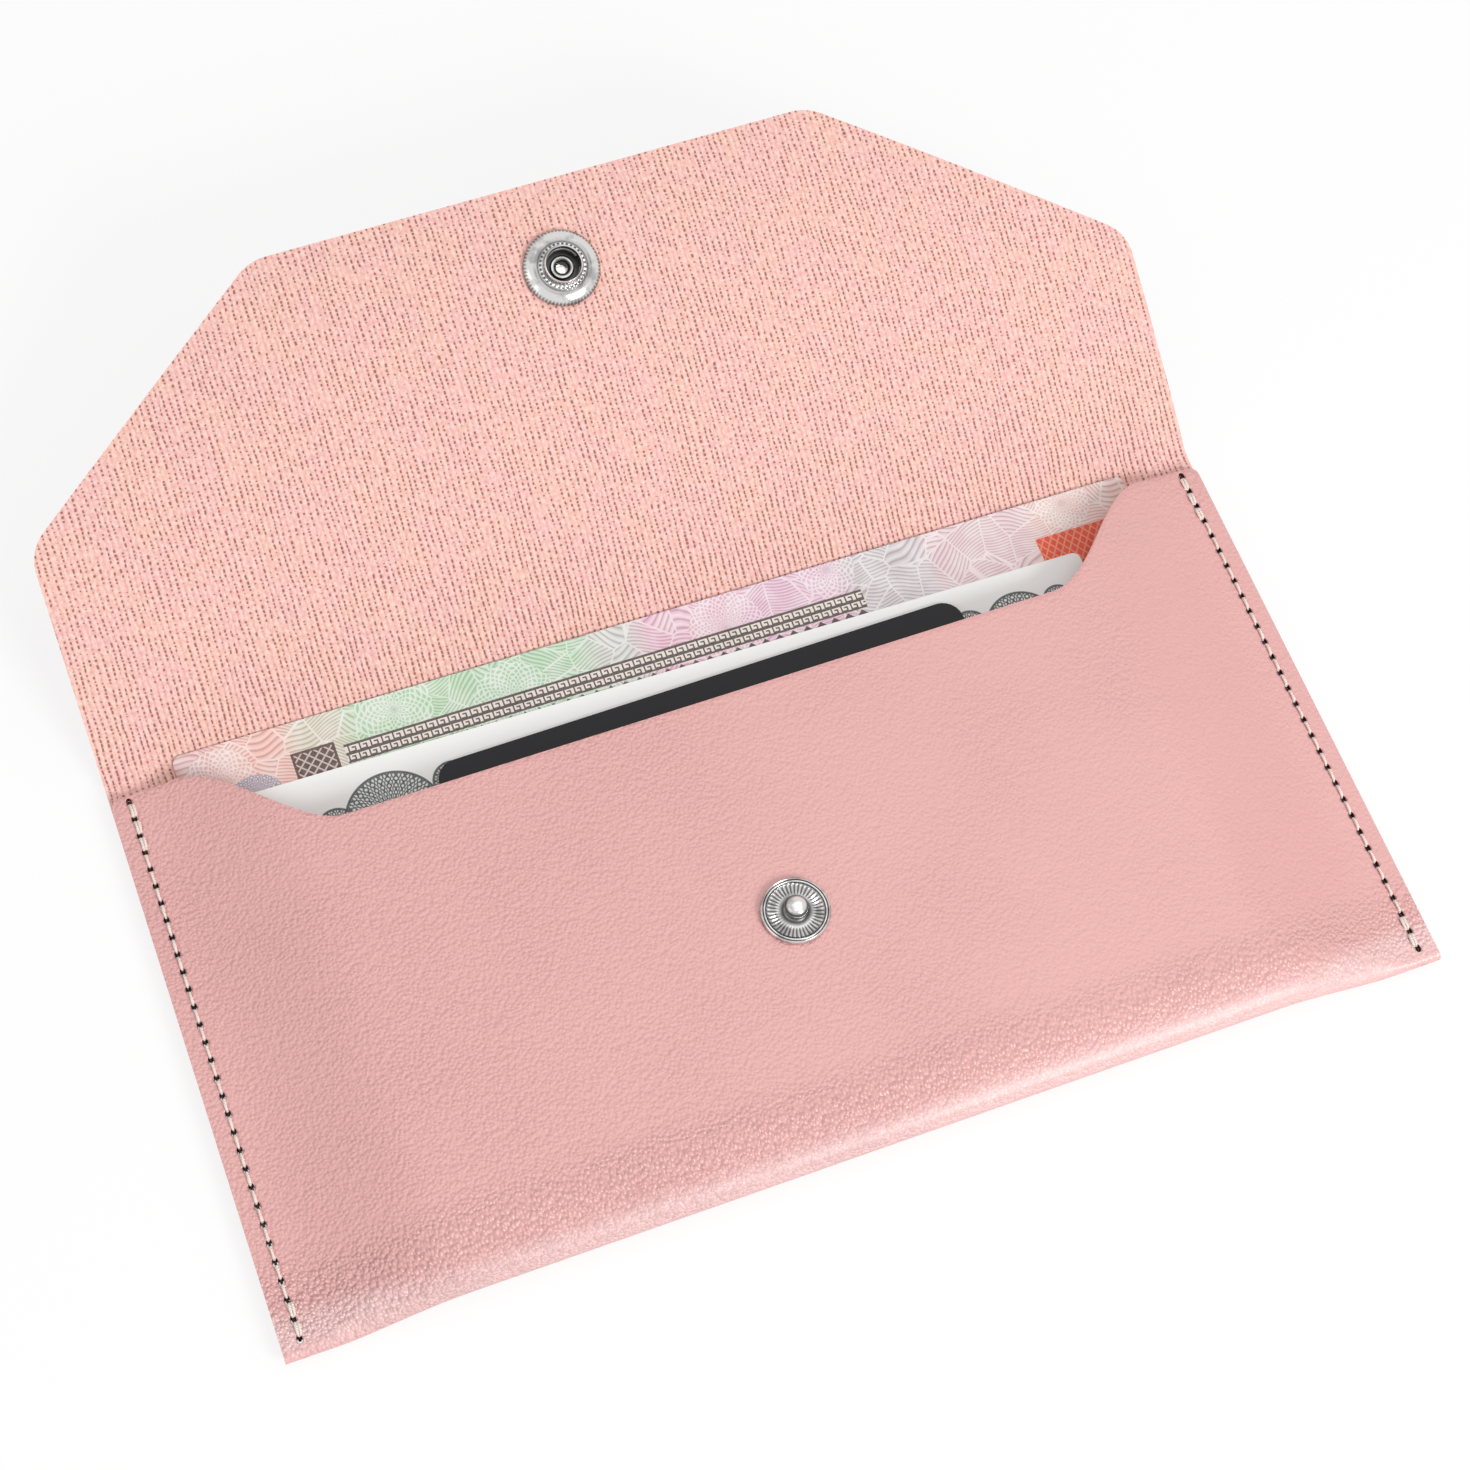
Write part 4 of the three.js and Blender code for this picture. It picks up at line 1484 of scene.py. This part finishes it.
    def spring(self, material: bpy.types.Material) -> bpy.types.Object:
        """Build the split ring of wire in the socket's groove.

        Args:
            material: Its metal.

        Returns:
            The finished spring.
        """
        split = math.radians(self.spring_split)
        bm = bmesh.new()
        turn = Matrix.Rotation(split / 2, 4, "Z")
        reach = Matrix.Translation((self.spring_radius, 0.0, 0.0))
        stand = reach @ Matrix.Rotation(math.pi / 2, 4, "X")
        made = bmesh.ops.create_circle(
            bm, cap_ends=False, segments=12, radius=self.spring_wire, matrix=turn @ stand,
        )
        loop = made["verts"] + list({edge for vert in made["verts"] for edge in vert.link_edges})
        bmesh.ops.spin(
            bm, geom=loop, cent=(0.0, 0.0, 0.0), axis=(0.0, 0.0, 1.0), angle=math.tau - split,
            steps=48, use_merge=False, use_duplicate=False,
        )
        bmesh.ops.holes_fill(bm, edges=[edge for edge in bm.edges if edge.is_boundary], sides=12)
        bmesh.ops.recalc_face_normals(bm, faces=bm.faces)
        height = self.socket_height * self.spring_share
        bmesh.ops.translate(bm, vec=(0.0, 0.0, height), verts=bm.verts)
        # Even painted shade over the whole ring, which lies in the socket's groove.
        paint_shade_and_reflection(bm, lambda radius, z, angle: 0.55)
        return self._finish("spring_wire_ring", bm, self.flap_place(), material)


@dataclass
class FlatPiece:
    """A thin rectangle with rounded corners that lies in the pocket."""

    name: str
    length: float
    height: float
    thickness: float
    corner: float
    x: float
    top: float
    bottom_z: float
    turn_degrees: float

    def _outline(self, steps: int) -> list[Vector]:
        """Draw the outline as four corner arcs, from the lower left corner round.

        Args:
            steps: Steps along each arc.

        Returns:
            Points of the closed outline.
        """
        half, corner = self.length / 2, self.corner
        centres = (
            (-half + corner, -self.height + corner, math.pi),
            (half - corner, -self.height + corner, 1.5 * math.pi),
            (half - corner, -corner, 0.0),
            (-half + corner, -corner, 0.5 * math.pi),
        )
        return [
            Vector((cx + corner * math.cos(a), cy + corner * math.sin(a), 0.0))
            for cx, cy, start in centres for a in spread(start, start + math.pi / 2, steps)
        ]

    def build(
        self,
        material: bpy.types.Material,
        cuts: int,
        bend: Callable[[float, float], float],
        bevel: float,
    ) -> bpy.types.Object:
        """Build the piece.

        Args:
            material: Its finish.
            cuts: Number of cuts across and along, so that it can bend.
            bend: Height above the lying plane for a place in the wallet.
            bevel: Width of the rounding along its rim.

        Returns:
            The finished piece.
        """
        bm = bmesh.new()
        bm.faces.new([bm.verts.new(point) for point in self._outline(6)])
        for i in range(1, cuts):
            for normal, start, reach in (
                ((1, 0, 0), -self.length / 2, self.length), ((0, 1, 0), -self.height, self.height),
            ):
                at = start + reach * i / cuts
                bmesh.ops.bisect_plane(
                    bm, geom=bm.verts[:] + bm.edges[:] + bm.faces[:],
                    plane_co=Vector(normal) * at, plane_no=normal,
                )
        layer = bm.loops.layers.uv.new("print")
        for face in bm.faces:
            for loop in face.loops:
                loop[layer].uv = (loop.vert.co.x * MM, loop.vert.co.y * MM)
        bmesh.ops.recalc_face_normals(bm, faces=bm.faces)
        place = Matrix.Translation((self.x, self.top, self.bottom_z + self.thickness / 2))
        turn = Matrix.Rotation(math.radians(self.turn_degrees), 4, "Z")
        bmesh.ops.transform(bm, matrix=place @ turn, verts=bm.verts)
        for vert in bm.verts:
            vert.co.z += bend(vert.co.x, vert.co.y)
        piece = to_object(self.name, bm, (material,))
        modifier(piece, "SOLIDIFY", thickness=self.thickness * MM, offset=0.0)
        if bevel:
            modifier(
                piece, "BEVEL", width=bevel * MM, segments=2, limit_method="ANGLE",
                angle_limit=math.radians(RIM_DEGREES),
            )
        settle(piece)
        return piece


@dataclass
class Contents:
    """Two banknotes and a card that lie loose in the pocket."""

    ride_from: float = CREASE_Y - 2.5
    ride_up: float = 0.034
    rear: FlatPiece = field(default_factory=lambda: FlatPiece(
        name="note_coloured", length=156.0, height=69.0, thickness=0.12, corner=1.2,
        x=-0.4, top=47.7, bottom_z=0.98, turn_degrees=-0.5,
    ))
    front: FlatPiece = field(default_factory=lambda: FlatPiece(
        name="note_white", length=140.0, height=66.3, thickness=0.12, corner=1.2,
        x=-4.4, top=38.1, bottom_z=1.18, turn_degrees=-1.1,
    ))
    card: FlatPiece = field(default_factory=lambda: FlatPiece(
        name="card_black", length=85.6, height=54.0, thickness=0.76, corner=3.2,
        x=0.9, top=34.7, bottom_z=1.38, turn_degrees=0.5,
    ))

    def rear_bend(self, x: float, y: float) -> float:
        """Return how far the coloured note rides up where it lies on the flap's bend."""
        return self.ride_up * max(0.0, y - self.ride_from) ** 2

    def build(self) -> tuple[bpy.types.Object, bpy.types.Object, bpy.types.Object]:
        """Build the two notes and the card."""
        return (
            self.rear.build(PrintedNoteFinish().material(), cuts=44, bend=self.rear_bend, bevel=0.0),
            self.front.build(WhiteNoteFinish().material(), cuts=6, bend=lambda x, y: 0.0, bevel=0.0),
            self.card.build(CardFinish().material(), cuts=2, bend=lambda x, y: 0.0, bevel=0.12),
        )


@dataclass
class Studio:
    """Plain white sweep, soft lights and the camera."""

    sensor: float = 36.0
    image: float = 1470.0
    focal: float = 2992.63
    aim: tuple[float, float, float] = (0.0, 0.02, 0.0)
    soft_light: float = 0.52
    floor_half: float = 3000.0
    floor_white: float = 0.8
    centre: tuple[float, float, float] = (-85.91, -152.13, 411.8)
    right: tuple[float, float, float] = (0.934638, -0.351902, 0.051151)
    down: tuple[float, float, float] = (-0.297191, -0.851983, -0.431048)
    ahead: tuple[float, float, float] = (0.195267, 0.387672, -0.900878)

    def camera(self) -> None:
        """Place the camera at the photograph's angle."""
        data = bpy.data.cameras.new("camera")
        data.sensor_width = self.sensor
        data.lens = self.sensor * self.focal / self.image
        data.clip_start = 0.01
        camera = bpy.data.objects.new("camera", data)
        axes = Matrix((self.right, [-v for v in self.down], [-v for v in self.ahead])).transposed()
        camera.matrix_world = Matrix.Translation(Vector(self.centre) * MM) @ axes.to_4x4()
        bpy.context.scene.collection.objects.link(camera)
        bpy.context.scene.camera = camera

    def _light(self, name: str, place: tuple[float, float, float], size: float, power: float) -> None:
        """Add one square area light that points at the wallet.

        Args:
            name: Name of the light.
            place: Where it stands, in metres.
            size: Length of its side, in metres.
            power: Power in watts.
        """
        data = bpy.data.lights.new(name, "AREA")
        data.size = size
        data.energy = power
        light = bpy.data.objects.new(name, data)
        turn = (Vector(self.aim) - Vector(place)).to_track_quat("-Z", "Y").to_matrix().to_4x4()
        light.matrix_world = Matrix.Translation(place) @ turn
        bpy.context.scene.collection.objects.link(light)

    @staticmethod
    def _white(graph: Graph, lit: Signal, white: Signal, share: float = 1.0) -> Signal:
        """Mix plain white into what the camera, reflections and clear things see.

        Args:
            graph: The graph to wire.
            lit: The shader that matt surfaces are lit by.
            white: The plain white shader.
            share: Share of plain white.

        Returns:
            The mixed shader.
        """
        seen = graph.add("ShaderNodeLightPath", output="Is Camera Ray")
        outputs = seen.socket.node.outputs
        for name in ("Is Glossy Ray", "Is Transmission Ray"):
            seen = seen.most(Signal(graph, outputs[name]))
        return graph.add("ShaderNodeMixShader", inputs={0: seen * share, 1: lit, 2: white})

    def _surroundings(self) -> None:
        """Make the world a soft light, which the camera and reflections see as plain white."""
        graph = Graph("studio", "worlds")
        light = graph.add("ShaderNodeBackground", inputs={"Color": WHITE, "Strength": self.soft_light})
        shown = graph.add("ShaderNodeBackground", inputs={"Color": WHITE, "Strength": 1.0})
        mixed = self._white(graph, light, shown)
        bpy.context.scene.world = graph.close(mixed, "ShaderNodeOutputWorld")

    def _floor(self) -> None:
        """Lay the white floor, which keeps the wallet's soft shadow."""
        bm = bmesh.new()
        bmesh.ops.create_grid(bm, x_segments=2, y_segments=2, size=self.floor_half)
        graph = Graph("white_floor")
        lit = graph.add("ShaderNodeBsdfDiffuse", inputs={"Color": (0.97, 0.97, 0.97)})
        plain = graph.add("ShaderNodeEmission", inputs={"Color": WHITE, "Strength": 1.0})
        material = graph.close(self._white(graph, lit, plain, self.floor_white))
        to_object("floor", bm, (material,))

    def build(self) -> None:
        """Build the floor, the world and the lights."""
        self._floor()
        self._surroundings()
        self._light("overhead", (0.16, 0.02, 1.1), 1.0, 2.42)
        self._light("low_front", (0.28, -0.63, 0.52), 0.32, 4.3)
        self._light("left_fill", (-0.8, -0.1, 0.5), 0.6, 0.6)


@dataclass
class Wallet:
    """The whole wallet, piece by piece."""

    sheet: WalletSheet = field(default_factory=WalletSheet)
    snap: RingSnap = field(default_factory=RingSnap)
    contents: Contents = field(default_factory=Contents)

    def _join_frame(self, piece: bpy.types.Object, body: str, slot: str, *nodes: str) -> None:
        """Hang a piece on its body and let it stand for its solids.

        Args:
            piece: The piece.
            body: Body that it moves with.
            slot: Name of its finish; not used.
            nodes: Solids that it replaces.
        """
        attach(piece, body)
        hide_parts(*nodes)
        LOG.info("%s: %d faces, for %s", piece.name, len(piece.data.polygons), ", ".join(nodes))

    def build(self) -> None:
        """Build every piece in order."""
        # Painted shade: near-black brown walls for the stitch holes, where shade falls inside them.
        stitch_hole_shade = EdgeFinish("stitch_hole_painted_shade", srgb(74, 30, 28), srgb(50, 20, 20))
        leather = tuple(
            finish.material() for finish in (LeatherFinish(), KnitFinish(), EdgeFinish(), stitch_hole_shade)
        )
        sheet = self.sheet.build(leather, self.snap.stud_y, self.snap.flap_place())
        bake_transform(sheet)
        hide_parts("pouch_shell", "flap_panel")
        LOG.info("wallet_sheet: %d faces", len(sheet.data.polygons))
        self._threads()
        self._snaps()
        rear, front, card = self.contents.build()
        self._join_frame(rear, "pouch", "printed_paper", "banknote_rear")
        self._join_frame(front, "pouch", "white_paper", "banknote_front")
        self._join_frame(card, "pouch", "card_plastic", "card")

    def _threads(self) -> None:
        """Build the four threads of the two side seams."""
        material = ThreadFinish().material()
        maker = SeamThread(sheet=self.sheet)
        for label, side in (("left", -1), ("right", 1)):
            for run in Run:
                kind = run.name.lower()
                piece = maker.build(f"{kind}_run_{label}", side, run, material)
                self._join_frame(piece, "pouch", "thread", f"{kind}_thread_{label}")

    def _snaps(self) -> None:
        """Build the five metal pieces of the snap."""
        nickel = Plating.NICKEL.material()
        self._join_frame(self.snap.stud(nickel), "pouch", "snap_metal", "snap_stud")
        self._join_frame(self.snap.post(nickel), "pouch", "snap_metal", "snap_post")
        self._join_frame(self.snap.cap(nickel), "flap", "snap_metal", "snap_cap")
        self._join_frame(self.snap.socket(nickel), "flap", "snap_metal", "snap_socket")
        wire = Plating.SPRING.material()
        self._join_frame(self.snap.spring(wire), "flap", "spring_wire", "snap_spring")


def main() -> None:
    """Build the scene."""
    logging.basicConfig(level=logging.INFO, format="%(name)s: %(message)s")
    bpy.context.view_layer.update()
    studio = Studio()
    studio.camera()
    Wallet().build()
    studio.build()
    bpy.context.scene.view_settings.view_transform = "Standard"


if __name__ == "__main__":
    main()
